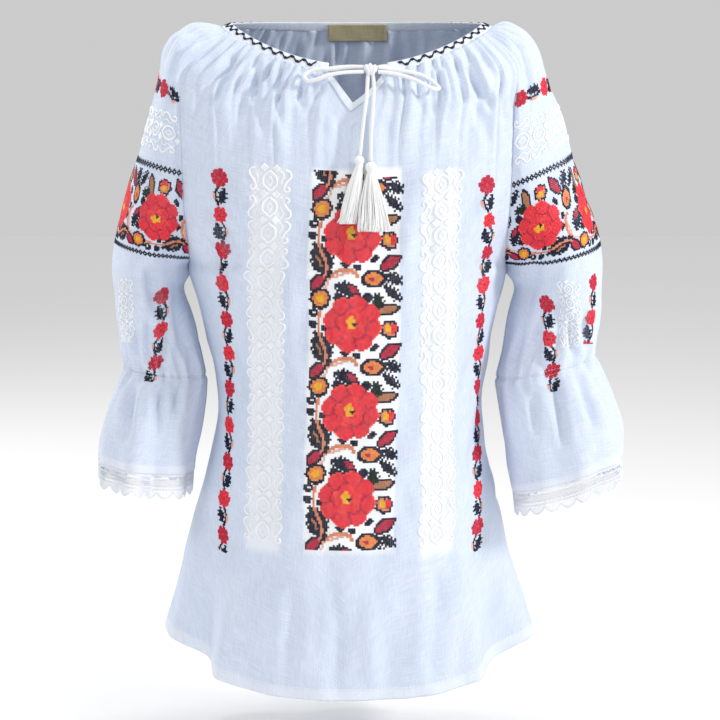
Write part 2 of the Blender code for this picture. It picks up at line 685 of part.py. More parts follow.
def smooth_route(points, step):
    """Evenly spaced points on a smooth curve through the route's points."""
    route = [Vector(p) for p in points]
    dense = []
    for i in range(len(route) - 1):
        p0, p1 = route[max(i - 1, 0)], route[i]
        p2, p3 = route[i + 1], route[min(i + 2, len(route) - 1)]
        for k in range(CURVE_PARTS):
            t = k / CURVE_PARTS
            dense.append(0.5 * (
                2 * p1 + (p2 - p0) * t + (2 * p0 - 5 * p1 + 4 * p2 - p3) * t * t
                + (3 * p1 - p0 - 3 * p2 + p3) * t ** 3
            ))
    dense.append(route[-1])
    lengths = [0.0]
    for a, b in zip(dense, dense[1:]):
        lengths.append(lengths[-1] + (b - a).length)
    count = max(2, round(lengths[-1] / step))
    result, i = [], 0
    for k in range(count + 1):
        goal = lengths[-1] * k / count
        while i < len(lengths) - 2 and lengths[i + 1] < goal:
            i += 1
        share = (goal - lengths[i]) / (lengths[i + 1] - lengths[i])
        result.append(dense[i].lerp(dense[i + 1], share))
    return result


def add_cord(name, route):
    curve = bpy.data.curves.new(name, "CURVE")
    curve.dimensions = "3D"
    curve.bevel_depth = CORD_DIAMETER / 2 * MM
    curve.bevel_resolution = 2
    curve.use_fill_caps = True
    points = smooth_route(route, CORD_STEP)
    spline = curve.splines.new("POLY")
    spline.points.add(len(points) - 1)
    for target, p in zip(spline.points, points):
        target.co = (*(p * MM), 1.0)
    curve.materials.append(new_material(name, CORD, CORD_ROUGHNESS))
    obj = bpy.data.objects.new(name, curve)
    bpy.context.scene.collection.objects.link(obj)


def turned_rings(centre, profile, sides, squash=(1.0, 1.0)):
    """Rings of points round a vertical axis, from a profile of (radius, height)."""
    rings = []
    for radius, height in profile:
        ring = []
        for k in range(sides):
            a = 2 * math.pi * k / sides
            ring.append(centre + Vector((
                radius * squash[0] * math.cos(a), radius * squash[1] * math.sin(a), height)))
        rings.append(ring)
    return rings


def ring_faces(count, sides):
    faces = []
    for i in range(count - 1):
        for k in range(sides):
            m = (k + 1) % sides
            faces.append([i * sides + k, i * sides + m, (i + 1) * sides + m, (i + 1) * sides + k])
    return faces


def add_knot():
    """The bow's knot, a rounded lump that the strands run into."""
    sides, levels = KNOT_SIDES, KNOT_LEVELS
    profile = []
    for i in range(levels):
        a = math.radians(lerp(-KNOT_CAP, KNOT_CAP, i / (levels - 1)))
        profile.append((math.cos(a), KNOT_RADII[2] * math.sin(a)))
    rings = turned_rings(Vector(KNOT_CENTRE), profile, sides, KNOT_RADII[:2])
    faces = ring_faces(levels, sides)
    faces.append(list(range(sides)))
    faces.append([(levels - 1) * sides + k for k in range(sides)])
    add_object("bow_knot", [p for ring in rings for p in ring], faces, CORD, CORD_ROUGHNESS)


def add_tassel(tassel):
    """A round head whose lower face carries two rings of separate strands."""
    head, r = Vector(tassel.head), tassel.radius
    levels = len(TASSEL_PROFILE)
    rings = turned_rings(head, [(r * a, r * b) for a, b in TASSEL_PROFILE], TASSEL_SIDES)
    faces = ring_faces(levels, TASSEL_SIDES)
    faces.append(list(range(TASSEL_SIDES)))
    faces.append([(levels - 1) * TASSEL_SIDES + k for k in range(TASSEL_SIDES)])
    obj = add_object(tassel.name, [p for ring in rings for p in ring], faces, CORD, TASSEL_ROUGHNESS)
    form = bmesh.new()
    form.from_mesh(obj.data)
    form.faces.ensure_lookup_table()
    first = (levels - 3) * TASSEL_SIDES
    roots = [form.faces[first + k] for k in range(2 * TASSEL_SIDES)]
    bmesh.ops.inset_individual(form, faces=roots, thickness=STRAND_INSET * MM, depth=0.0)
    tips = Vector(tassel.tips)
    for n, face in enumerate(roots):
        middle = face.calc_center_median() / MM
        across = (middle - head) / r
        reach = Vector((across.x * tassel.half_width, across.y * tassel.half_depth, 0))
        goal = tips + reach / STRAND_ROOTS
        goal += (goal - middle).normalized() * STRAND_UNEVEN * math.sin(n * STRAND_STEP)
        made = bmesh.ops.extrude_discrete_faces(form, faces=[face])["faces"]
        for tip in made:
            for vertex in tip.verts:
                side = (vertex.co / MM - middle).normalized()
                vertex.co = (goal + Vector((side.x, side.y, 0)) * STRAND_TIP) * MM
    bmesh.ops.recalc_face_normals(form, faces=form.faces)
    form.to_mesh(obj.data)
    form.free()


def main():
    for obj in list(bpy.data.objects):
        bpy.data.objects.remove(obj, do_unlink=True)

    front, back = panel_grid(True, FRONT_COLUMNS), panel_grid(False, BACK_COLUMNS)
    left = sleeve_grid(-1, LEFT_CAP, LEFT_RINGS, front, back)
    right = sleeve_grid(1, RIGHT_CAP, RIGHT_RINGS, front, back)
    front_normals, back_normals = grid_normals(front, None), grid_normals(back, None)
    left_normals, right_normals = grid_normals(left, UNDERARM_ROW), grid_normals(right, UNDERARM_ROW)

    # Walls point the same way where pieces meet
    for column, sleeve_normals in ((0, left_normals), (-1, right_normals)):
        for i in range(len(LEVELS)):
            front_place, back_place = (front_normals, i, column), (back_normals, i, column)
            if i < UNDERARM_ROW:
                share_normals(front_place, (sleeve_normals, i, 0))
                share_normals(back_place, (sleeve_normals, i, -1))
            elif i == UNDERARM_ROW:
                share_normals(front_place, back_place, (sleeve_normals, i, 0), (sleeve_normals, i, -1))
            else:
                share_normals(front_place, back_place)

    last = len(LEVELS) - 1
    hem = [0.0] * last + [HEM_EXTRA]
    front_relief = panel_relief(front, FRONT_FOLDS, FRONT_COLUMNS)
    back_relief = panel_relief(back, BACK_FOLDS, BACK_COLUMNS)
    outer, inner = wall_points(open_seams(front, front_normals, last), front_normals, front_relief, hem)
    add_wall("front_panel", outer, inner, None, CLOTH)
    add_slit_band(outer, front_normals)
    outer, inner = wall_points(open_seams(back, back_normals, last), back_normals, back_relief, hem)
    add_wall("back_panel", outer, inner, None, CLOTH)

    sleeves = (
        ("left", left, left_normals, LEFT_SLEEVE_FOLDS, LEFT_WAVE_PHASE),
        ("right", right, right_normals, RIGHT_SLEEVE_FOLDS, RIGHT_WAVE_PHASE),
    )
    for side, grid, normals, folds, phase in sleeves:
        relief = sleeve_relief(grid, folds, phase)
        cuff = [0.0] * (len(grid) - 1) + [HEM_EXTRA]
        outer, inner = wall_points(open_armhole(grid, normals), normals, relief, cuff)
        add_wall("sleeve_" + side, outer, inner, UNDERARM_ROW, CLOTH)
        add_lace("lace_" + side, outer, inner)

    add_neck_binding()
    add_label()
    add_knot()
    routes = {
        "cord_lead_left": LEAD_LEFT,
        "cord_lead_right": LEAD_RIGHT,
        "cord_loop_left": LOOP_LEFT,
        "cord_loop_right": LOOP_RIGHT,
        "cord_tail_left": TAIL_LEFT,
        "cord_tail_right": TAIL_RIGHT,
    }
    for name, route in routes.items():
        add_cord(name, route)
    for tassel in TASSELS:
        add_tassel(tassel)


main()
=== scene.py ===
import json
import math

import bmesh
import bpy
import numpy as np
from mathutils import Vector
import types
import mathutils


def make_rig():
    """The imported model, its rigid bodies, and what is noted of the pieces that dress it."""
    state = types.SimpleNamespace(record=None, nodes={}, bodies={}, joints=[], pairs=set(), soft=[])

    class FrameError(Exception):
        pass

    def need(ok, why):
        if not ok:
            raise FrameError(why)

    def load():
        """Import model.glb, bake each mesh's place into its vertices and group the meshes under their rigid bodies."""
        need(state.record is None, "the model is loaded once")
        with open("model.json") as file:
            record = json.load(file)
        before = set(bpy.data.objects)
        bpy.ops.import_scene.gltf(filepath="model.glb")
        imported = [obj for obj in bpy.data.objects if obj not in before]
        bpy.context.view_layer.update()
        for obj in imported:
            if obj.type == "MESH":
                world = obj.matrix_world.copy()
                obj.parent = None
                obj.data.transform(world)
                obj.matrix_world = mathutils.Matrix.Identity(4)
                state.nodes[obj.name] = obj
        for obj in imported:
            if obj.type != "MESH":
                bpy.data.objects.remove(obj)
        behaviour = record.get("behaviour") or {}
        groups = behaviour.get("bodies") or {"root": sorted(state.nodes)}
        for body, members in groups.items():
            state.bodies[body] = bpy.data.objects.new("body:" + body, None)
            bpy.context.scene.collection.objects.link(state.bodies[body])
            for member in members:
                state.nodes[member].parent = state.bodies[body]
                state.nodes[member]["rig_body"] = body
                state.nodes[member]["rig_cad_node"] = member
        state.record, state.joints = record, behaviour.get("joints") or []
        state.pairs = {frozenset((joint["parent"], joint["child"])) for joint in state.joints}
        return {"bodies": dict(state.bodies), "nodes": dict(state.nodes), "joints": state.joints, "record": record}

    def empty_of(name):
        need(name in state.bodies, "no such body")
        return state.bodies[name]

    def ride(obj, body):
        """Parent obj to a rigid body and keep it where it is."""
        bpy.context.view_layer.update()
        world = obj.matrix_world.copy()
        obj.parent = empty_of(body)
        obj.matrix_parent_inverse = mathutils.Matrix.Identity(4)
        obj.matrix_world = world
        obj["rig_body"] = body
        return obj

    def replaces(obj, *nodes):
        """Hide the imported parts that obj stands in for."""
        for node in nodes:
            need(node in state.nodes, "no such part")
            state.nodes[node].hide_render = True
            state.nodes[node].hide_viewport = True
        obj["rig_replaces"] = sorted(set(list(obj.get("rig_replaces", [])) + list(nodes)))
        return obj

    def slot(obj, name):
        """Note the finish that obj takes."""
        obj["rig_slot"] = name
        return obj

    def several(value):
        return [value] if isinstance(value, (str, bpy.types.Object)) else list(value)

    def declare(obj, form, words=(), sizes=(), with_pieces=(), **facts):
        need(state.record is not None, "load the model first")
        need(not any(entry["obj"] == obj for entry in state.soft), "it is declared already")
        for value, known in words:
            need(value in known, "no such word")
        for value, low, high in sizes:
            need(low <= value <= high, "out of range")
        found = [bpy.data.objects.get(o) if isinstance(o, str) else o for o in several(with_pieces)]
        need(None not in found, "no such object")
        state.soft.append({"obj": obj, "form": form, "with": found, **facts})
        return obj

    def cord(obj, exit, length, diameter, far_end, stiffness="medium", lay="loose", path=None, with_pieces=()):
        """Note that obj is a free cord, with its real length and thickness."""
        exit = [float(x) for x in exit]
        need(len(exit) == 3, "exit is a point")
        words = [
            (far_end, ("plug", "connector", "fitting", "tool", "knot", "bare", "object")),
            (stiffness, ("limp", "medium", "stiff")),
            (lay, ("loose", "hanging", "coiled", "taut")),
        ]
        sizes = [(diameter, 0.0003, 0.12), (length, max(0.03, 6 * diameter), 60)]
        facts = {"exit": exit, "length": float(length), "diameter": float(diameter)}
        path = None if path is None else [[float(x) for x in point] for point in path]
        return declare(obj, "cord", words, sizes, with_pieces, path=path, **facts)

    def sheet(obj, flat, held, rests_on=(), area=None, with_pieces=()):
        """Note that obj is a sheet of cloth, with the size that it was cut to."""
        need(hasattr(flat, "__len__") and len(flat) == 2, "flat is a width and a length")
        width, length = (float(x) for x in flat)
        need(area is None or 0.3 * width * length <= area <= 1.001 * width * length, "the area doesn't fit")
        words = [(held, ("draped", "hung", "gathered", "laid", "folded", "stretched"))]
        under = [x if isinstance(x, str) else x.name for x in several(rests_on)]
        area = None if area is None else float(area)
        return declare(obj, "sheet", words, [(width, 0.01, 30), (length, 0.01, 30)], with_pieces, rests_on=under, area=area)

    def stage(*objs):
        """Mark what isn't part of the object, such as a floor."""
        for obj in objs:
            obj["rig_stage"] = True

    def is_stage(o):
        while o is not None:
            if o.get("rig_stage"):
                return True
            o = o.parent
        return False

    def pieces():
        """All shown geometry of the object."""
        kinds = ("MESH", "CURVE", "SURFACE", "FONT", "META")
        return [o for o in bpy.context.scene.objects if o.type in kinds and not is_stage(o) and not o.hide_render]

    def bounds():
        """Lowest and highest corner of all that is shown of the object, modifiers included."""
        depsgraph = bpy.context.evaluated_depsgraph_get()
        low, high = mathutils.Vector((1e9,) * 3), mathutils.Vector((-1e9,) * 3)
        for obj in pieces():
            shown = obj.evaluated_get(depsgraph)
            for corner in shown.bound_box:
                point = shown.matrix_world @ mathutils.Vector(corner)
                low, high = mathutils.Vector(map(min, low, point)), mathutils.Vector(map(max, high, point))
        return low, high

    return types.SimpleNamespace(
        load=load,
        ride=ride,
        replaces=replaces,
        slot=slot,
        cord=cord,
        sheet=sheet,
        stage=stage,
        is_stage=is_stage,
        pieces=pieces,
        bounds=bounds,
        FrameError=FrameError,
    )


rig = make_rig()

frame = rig.load()
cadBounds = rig.bounds()

# Tables and lengths are in millimetres, as in the solids; meshes are in metres
mm = 0.001

# Camera at the photo's angle
cameraData = bpy.data.cameras.new("camera")
cameraData.lens = 125.7
cameraData.sensor_width = 36.0
camera = bpy.data.objects.new("camera", cameraData)
bpy.context.scene.collection.objects.link(camera)
camera.location = (0.008, -2.60, 0.010)
aim = Vector((0.008, -0.11, -0.337)) - camera.location
camera.rotation_euler = aim.to_track_quat("-Z", "Y").to_euler()
bpy.context.scene.camera = camera
print("camera placed")

# Form of the body: heights at the middle and edge of the front, sideways middle, half width,
# depths, turn of the front at its edge, then the same for the back
levels = np.array([
    (-53, -14.1, 5.0, 129, -88, -31.3, 69.2, -12, -9, 74, 26.3, 69.2),
    (-70, -31, 4.0, 150, -97, -48, 60, -34, -29, 84, 44, 60),
    (-88, -50, -1.0, 167, -104, -58, 55, -56, -50, 93, 54, 55),
    (-107, -75, -4.0, 168, -110, -67, 52, -79, -75, 100, 61, 52),
    (-127, -100, -5.0, 167, -116, -72, 50, -103, -100, 105, 64, 50),
    (-148, -128, -5.0, 166, -120, -75, 50, -129, -128, 108, 66, 50),
    (-170, -157, -5.0, 165, -123, -76, 50, -157, -157, 110, 66, 50),
    (-192, -186, -5.0, 164, -125, -73, 52, -186, -186, 110, 63, 52),
    (-215, -214, -5.0, 162, -126, -62, 58, -214, -214, 108, 54, 58),
    (-236, -238, -5.0, 161, -126, -42, 68, -238, -238, 106, 36, 68),
    (-256, -256, -5.0, 163, -126, 0, 90, -256, -256, 104, 0, 90),
    (-295, -292, -4.0, 155, -124, 0, 90, -295, -292, 100, 0, 90),
    (-335, -330, -3.0, 146, -121, 1, 90, -335, -330, 96, 1, 90),
    (-375, -368, -3.0, 139, -118, 2, 90, -375, -368, 93, 2, 90),
    (-415, -405, -3.0, 137, -117, 3, 90, -415, -405, 92, 3, 90),
    (-455, -443, -4.0, 143, -117, 5, 90, -455, -443, 94, 5, 90),
    (-495, -480, -5.0, 151, -118, 7, 90, -495, -480, 98, 7, 90),
    (-535, -517, -6.0, 161, -119, 10, 90, -535, -517, 102, 10, 90),
    (-575, -552, -6.0, 170, -120, 12, 90, -575, -552, 107, 12, 90),
    (-615, -585, -5.0, 179, -121, 14, 90, -615, -585, 112, 14, 90),
    (-652, -615, -4.0, 188, -122, 16, 90, -652, -615, 116, 16, 90),
    (-684, -640, -3.0, 195, -124, 18, 90, -684, -640, 120, 18, 90),
], float)

# Folds of a panel: place across at the top and bottom, heights where they begin and end,
# height at the middle and foot, half width
frontFolds = [
    (-0.72, -0.90, -36, -112, -5.0, 0, 0.070), (-0.55, -0.60, -44, -125, -5.5, 0, 0.060),
    (-0.44, -0.44, -46, -118, -4.5, 0, 0.050), (-0.36, -0.34, -50, -150, 3.0, 0, 0.060),
    (-0.02, -0.06, -86, -190, -3.5, 0, 0.055), (0.12, 0.16, -70, -170, 2.5, 0, 0.060),
    (0.30, 0.34, -58, -140, 2.5, 0, 0.050), (0.48, 0.44, -46, -118, -5.0, 0, 0.055),
    (0.62, 0.82, -40, -128, -6.0, 0, 0.070), (0.80, 0.94, -34, -112, -4.5, 0, 0.060),
    (-0.30, -0.34, -300, -690, -2.5, -4.0, 0.085), (0.10, 0.12, -420, -690, -1.5, -3.5, 0.085),
    (0.33, 0.30, -360, -690, 2.5, 3.0, 0.085), (-0.47, -0.49, -480, -690, 1.5, 4.0, 0.070),
    (0.49, 0.48, -470, -690, 1.5, 4.0, 0.070), (-0.66, -0.67, -490, -690, -13, -34, 0.200),
    (0.66, 0.66, -480, -690, -13, -33, 0.200),
]
backFolds = [
    (-0.60, -0.66, -30, -150, -5.0, 0, 0.080), (-0.24, -0.26, -24, -170, -4.0, 0, 0.080),
    (0.08, 0.10, -24, -190, -4.5, 0, 0.080), (0.46, 0.52, -28, -160, -5.0, 0, 0.080),
    (-0.66, -0.67, -470, -690, -11, -28, 0.210), (-0.16, -0.20, -440, -690, -5, -13, 0.150),
    (0.24, 0.22, -460, -690, -6, -15, 0.150), (0.66, 0.67, -480, -690, -12, -29, 0.210),
]

# Cap of a sleeve: outermost point, reach to front and back, and whether the row swings past
# its widest place; then its rings: outer and inner points, middle depth, reach
leftCap = [
    (154, -4.5, 58, 54, 0), (177, -11, 63, 59, 0), (192, -30, 69, 63, 0), (198, -56, 72.5, 65, 1),
    (206, -92, 76, 67, 1), (219, -135, 78, 68, 1), (232, -178, 78, 67, 1), (242, -217, 75, 65, 1),
    (246, -247, 71, 62, 1), (245, -275, 67, 60, 1),
]
rightCap = [
    (158, -4, 58, 54, 0), (177, -13, 63, 59, 0), (190, -31, 69, 63, 0), (198, -53, 72.5, 65, 1),
    (209, -84, 76, 67, 1), (221, -122, 78, 68, 1), (235, -166, 78, 67, 1), (250, -208, 75, 65, 1),
    (258, -243, 71, 62, 1), (258, -273, 67, 60, 1),
]
leftRings = [
    (244, -300, 175, -273, -6, 63, 58), (242, -322, 168, -300, -8, 57, 53),
    (239, -341, 160, -333, -10, 49, 47), (236.5, -356, 153.5, -366, -13, 43, 42),
    (242, -370, 153, -379, -15, 47, 45), (254, -398, 157, -407, -19, 54, 52),
    (261, -428, 163, -438, -22, 59, 57), (262.5, -451, 167, -463, -24, 62, 60),
]
rightRings = [
    (257, -298, 169, -273, -6, 64, 59), (255.5, -316, 163, -302, -8, 58, 54),
    (253, -331, 158, -336, -10, 50, 48), (251, -346, 153, -369, -13, 45, 43),
    (257, -359, 153, -384, -15, 49, 47), (269, -386, 156, -414, -18, 56, 54),
    (278, -420, 161, -452, -21, 61, 59), (279.5, -447, 167, -483, -23, 64, 62),
]
# Folds of a sleeve: column, first and last row, height, half width in columns
leftSleeveFolds = [
    (4.0, 1, 5, -5.0, 2.2), (9.0, 0, 4, -3.0, 2.2), (8.0, 9, 14, -3.0, 1.8), (5.4, 14, 19, -11.0, 1.8),
    (2.6, 14, 19, 4.0, 1.6), (22.0, 9, 14, -3.5, 1.8), (20.0, 14, 19, -7.0, 1.8),
]
rightSleeveFolds = [
    (4.5, 1, 5, -4.0, 2.2), (10.0, 0, 4, -3.0, 2.2), (5.0, 9, 14, -3.0, 1.8), (6.3, 14, 19, -11.0, 1.8),
    (8.6, 14, 19, 4.0, 1.6), (23.0, 9, 14, -3.5, 1.8), (20.5, 14, 19, -7.0, 1.8),
]
# Narrow creases: side of the body, both ends across and in height, half width, height
creaseGain = 2.3
frontCreases = [
    (-1, -94, -36, -96, -96, 3.4, -2.6), (-1, -70, -40, -72, -106, 3.2, -2.8),
    (-1, -63, -42, -65, -76, 2, -1.6), (-1, -114, -34, -143, -88, 4.6, -3.2),
    (-1, -103, -42, -119, -74, 2.6, -1.8), (-1, -82, -38, -84, -70, 2.4, -1.6),
    (-1, -50, -44, -50, -88, 2.6, -1.8), (-1, -36, -48, -37, -80, 2.2, -1.3),
    (-1, 89, -38, 88, -72, 2.4, -1.9), (-1, 80, -40, 80, -92, 3, -2.4), (-1, 66, -42, 66, -84, 2.6, -1.9),
    (-1, 52, -45, 52, -76, 2.2, -1.4), (-1, 104, -36, 112, -84, 3, -2.2),
    (-1, 114, -34, 139, -92, 3.6, -3), (-1, -150, -178, -112, -246, 6, -2.2),
    (-1, -156, -205, -122, -282, 6, -2.2), (-1, 150, -176, 116, -240, 6, -2),
    (-1, 154, -204, 120, -270, 7, -2.4), (-1, -128, -330, -108, -382, 6, -1.5),
    (-1, 126, -320, 108, -398, 7, -1.8), (-1, -60, -560, -64, -676, 7, -1.6),
    (-1, 20, -566, 24, -676, 9, 1.6), (-1, 84, -560, 82, -676, 7, -1.8), (-1, 4, -128, -10, -250, 7, -1.2),
    (-1, 62, -150, 58, -330, 9, 1.2), (-1, -58, -170, -56, -380, 9, 1.2),
    (-1, -20, -560, -16, -680, 6, -1.3),
]
backCreases = [
    (1, -80, -20, -84, -110, 3.4, -2.6), (1, -50, -18, -52, -84, 2.8, -2),
    (1, -20, -16, -20, -104, 3.2, -2.4), (1, 12, -16, 12, -72, 2.6, -1.8),
    (1, 42, -18, 44, -118, 3.4, -2.6), (1, 74, -20, 80, -90, 3, -2.2), (1, 100, -24, 112, -96, 3.4, -2.4),
    (1, -106, -24, -118, -90, 3.2, -2.2), (1, -146, -186, -104, -262, 7, -2.6),
    (1, 148, -184, 108, -268, 7, -2.6), (1, -40, -330, -60, -470, 9, -1.8),
    (1, 46, -320, 66, -460, 9, -1.8), (1, 4, -300, 2, -420, 8, 1.4), (1, -100, -560, -104, -676, 8, -2),
    (1, 96, -560, 100, -676, 8, -2),
]
leftCreases = [
    (-1, -126, -20, -174, -60, 5.4, -3.6), (-1, -150, -20, -184, -66, 4, 1.6),
    (-1, -176, -96, -158, -190, 6, -2.4), (-1, -214, -236, -196, -296, 6, -2),
    (-1, -182, -262, -176, -340, 5, -2.4), (-1, -206, -300, -208, -352, 3.6, -2.4),
    (-1, -222, -306, -222, -352, 3.2, -2.2), (-1, -190, -312, -192, -356, 3, -2),
    (-1, -166, -330, -164, -366, 2.8, -1.8), (-1, -196, -366, -199, -420, 4, -2.6),
    (-1, -222, -362, -232, -424, 4, -2.4), (-1, -178, -368, -180, -402, 3, -2),
    (1, -140, -20, -176, -70, 4.2, -2.8), (1, -170, -120, -156, -200, 7, -2.4),
    (1, -206, -286, -206, -352, 4.4, -2.6), (1, -184, -300, -186, -356, 3.6, -2.2),
    (1, -212, -364, -220, -424, 4.4, -2.6), (1, -182, -368, -182, -414, 3.6, -2.2),
]
rightCreases = [
    (-1, 132, -26, 158, -66, 4, -2.6), (-1, 160, -34, 163, -106, 5, 2.6),
    (-1, 148, -84, 156, -150, 5, -2.2), (-1, 186, -240, 178, -300, 6, -2.2),
    (-1, 214, -270, 206, -336, 5, -2.4), (-1, 192, -306, 192, -358, 3.6, -2.4),
    (-1, 222, -296, 224, -344, 3.4, -2.2), (-1, 236, -290, 238, -338, 3, -2),
    (-1, 172, -322, 168, -370, 3, -2), (-1, 208, -366, 214, -430, 4.2, -2.6),
    (-1, 232, -356, 246, -416, 4.2, -2.4), (-1, 186, -376, 188, -420, 3.2, -2),
    (1, 144, -22, 178, -72, 4.2, -2.8), (1, 160, -116, 176, -196, 7, -2.4),
    (1, 212, -280, 212, -344, 4.4, -2.6), (1, 186, -296, 188, -356, 3.6, -2.2),
    (1, 222, -360, 232, -420, 4.4, -2.6), (1, 186, -372, 188, -424, 3.6, -2.2),
]
neck = {"midX": 5.0, "halfWidth": 138.0, "frontY": 88.0, "backY": 74.0, "frontZ": -53.0, "backZ": -12.0,
        "sideZ": -8.5, "raglanTurn": 69.2}
slitHalf = 29.0
slitLevels = 1.65
lastLevel = len(levels) - 1
# Gathers at the neck, at the cuff and in the frill, and the dents of worn cloth: heights in millimetres
gathers = {"frontRidges": 48, "backRidges": 32, "ridge": 1.9, "reach": 6.0, "fine": 0.55, "sleeveFine": 0.4}
cuff = {"ridge": 2.9, "fine": 1.1, "pinch": 1.6, "reach": 3.0}
frill = {"large": 4.5, "largeWaves": 7, "small": 2.5, "smallWaves": 3}
dents = {"slow": 1.5, "fast": 0.5, "slant": 0.95}
sleeveColumns = 28
underarmRow = 10
cuffRow = 14
lastSleeveRow = 18


def spline(table, rows):
    rows = np.asarray(rows, float)
    i = np.clip(np.floor(rows).astype(int), 0, len(table) - 2)
    t = (rows - i).reshape(rows.shape + (1,) * (table.ndim - 1))
    p0, p1 = table[np.maximum(i - 1, 0)], table[i]
    p2, p3 = table[i + 1], table[np.minimum(i + 2, len(table) - 1)]
    return 0.5 * (2 * p1 + (p2 - p0) * t + (2 * p0 - 5 * p1 + 4 * p2 - p3) * t ** 2
                  + (3 * p1 - p0 - 3 * p2 + p3) * t ** 3)


def mix(a, b, t):
    return a + (b - a) * t


def bump(t):
    return np.where(np.abs(t) < 1, 0.5 * (1 + np.cos(np.pi * np.clip(t, -1, 1))), 0.0)


def ease(t):
    t = np.clip(t, 0, 1)
    return t * t * (3 - 2 * t)


def unit(vectors):
    return vectors / np.linalg.norm(vectors, axis=-1, keepdims=True)


def arcs(points):
    steps = np.linalg.norm(np.diff(points, axis=-2), axis=-1)
    return np.concatenate([np.zeros(steps.shape[:-1] + (1,)), np.cumsum(steps, axis=-1)], axis=-1)


def along(goals, distances, line):
    return np.stack([np.interp(goals, distances, line[:, k]) for k in range(line.shape[1])], axis=-1)


def slitShare(u):
    full = math.radians(levels[0][6])
    reach = np.abs(levels[0][3] * np.sin(u * full) / math.sin(full))
    return np.maximum(0.0, 1.0 - reach / slitHalf)


def panelBase(front, rows, columns):
    u = np.linspace(-1, 1, columns)[None, :] + np.zeros((rows, 1))
    v = np.linspace(0, lastLevel, rows)[:, None] + np.zeros((1, columns))
    level = v
    if front:
        level = np.where(v < 4, mix(slitShare(u) * slitLevels, 4.0, v / 4), v)
    t = spline(levels, level)
    first = 0 if front else 7
    midZ, edgeZ = t[..., first], t[..., first + 1]
    midY, edgeY, turn = (t[..., 4], t[..., 5], t[..., 6]) if front else (t[..., 9], t[..., 10], t[..., 11])
    full = np.radians(np.clip(turn, 40, 90))
    side = np.sin(u * full) / np.sin(full)
    depth = np.maximum(0, (np.cos(u * full) - np.cos(full)) / (1 - np.cos(full)))
    bend = np.interp(-midZ, [295, 335], [2.0, 3.2])
    points = np.stack([
        t[..., 2] + t[..., 3] * side,
        mix(edgeY, midY, depth ** 0.92),
        mix(midZ, edgeZ, np.abs(side) ** bend),
    ], axis=-1)
    return points, u, v


def neckPoint(turn):
    a = np.radians(turn)
    s, c = np.sin(a), np.cos(a)
    y = np.where(c > 0, -neck["frontY"] * c, -neck["backY"] * c)
    z = np.where(c > 0, mix(neck["frontZ"], neck["sideZ"], s * s), mix(neck["backZ"], neck["sideZ"], s * s))
    return np.stack([neck["midX"] + neck["halfWidth"] * s, y, z], axis=-1)


def sleeveRow(outer, start, end, front, back, swings, fold, columns):
    share = np.linspace(1, -1, columns)
    points = np.zeros((columns, 3))
    for seam, reach, half in ((start, front, share > 0), (end, back, share <= 0)):
        full = math.asin(min(1.0, abs(seam[1] - outer[1]) / reach))
        full = math.pi - full if swings else full
        angle = np.abs(share) * full
        weight = np.maximum(0, (np.cos(angle) - math.cos(full)) / (1 - math.cos(full))) ** fold
        p = seam[None, :] + (outer - seam)[None, :] * weight[:, None]
        p[:, 1] = outer[1] - np.sign(share) * reach * np.sin(angle)
        points[half] = p[half]
    return points


def sleeveBase(side, cap, rings, rows, columns):
    edge = 0 if side < 0 else -1
    frontEdge = panelBase(True, lastLevel + 1, 3)[0][:, edge]
    backEdge = panelBase(False, lastLevel + 1, 3)[0][:, edge]
    turn = np.linspace(neck["raglanTurn"], 180 - neck["raglanTurn"], columns)
    coarse = [neckPoint(side * turn)]
    for i, (outerX, outerZ, front, back, swings) in enumerate(cap, start=1):
        outer = np.array([side * outerX, 0.0, outerZ])
        fold = mix(1.0, 0.72, max(0.0, i - 6) / 4)
        coarse.append(sleeveRow(outer, frontEdge[i], backEdge[i], front, back, swings, fold, columns))
    for i, (outerX, outerZ, innerX, innerZ, midY, front, back) in enumerate(rings, start=11):
        outer = np.array([side * outerX, midY, outerZ])
        inner = np.array([side * innerX, midY, innerZ])
        fold = mix(1.0, 0.72, max(0.0, 14 - i) / 4)
        coarse.append(sleeveRow(outer, inner, inner, front, back, True, fold, columns))
    v = np.linspace(0, lastSleeveRow, rows)
    points = spline(np.array(coarse), v)
    # The armhole edges lie on the panels' edges
    q = np.linspace(0, 1, columns)
    fine = spline(levels, np.minimum(v, lastLevel))
    for column, depth, height, weight in ((0, 5, 1, ease(1 - q * 9)), (-1, 10, 8, ease(1 - (1 - q) * 9))):
        exact = np.stack([fine[:, 2] + side * fine[:, 3], fine[:, depth], fine[:, height]], axis=-1)
        gap = np.where((v <= underarmRow)[:, None], exact - points[:, column], 0.0)
        points = points + gap[:, None, :] * weight[None, :, None]
    return points, q[None, :] + np.zeros((rows, 1)), v[:, None] + np.zeros((1, columns))


def unitNormals(points, centreY, wrapFrom=None):
    down = np.gradient(points, axis=0)
    across = np.gradient(points, axis=1)
    if wrapFrom is not None:
        wrap = (points[:, 1] - points[:, -2]) / 2
        for column in (0, -1):
            across[wrapFrom:, column] = wrap[wrapFrom:]
    n = np.cross(down, across)
    n /= np.maximum(np.linalg.norm(n, axis=-1, keepdims=True), 1e-9)
    centre = points.mean(axis=1, keepdims=True)
    centre[..., 1] *= centreY
    away = np.sum(n * (points - centre), axis=-1)
    if np.median(away) < 0:
        n = -n
    if wrapFrom is not None:
        mean = unit(n[wrapFrom:, 0] + n[wrapFrom:, -1])
        n[wrapFrom:, 0] = mean
        n[wrapFrom:, -1] = mean
    return n


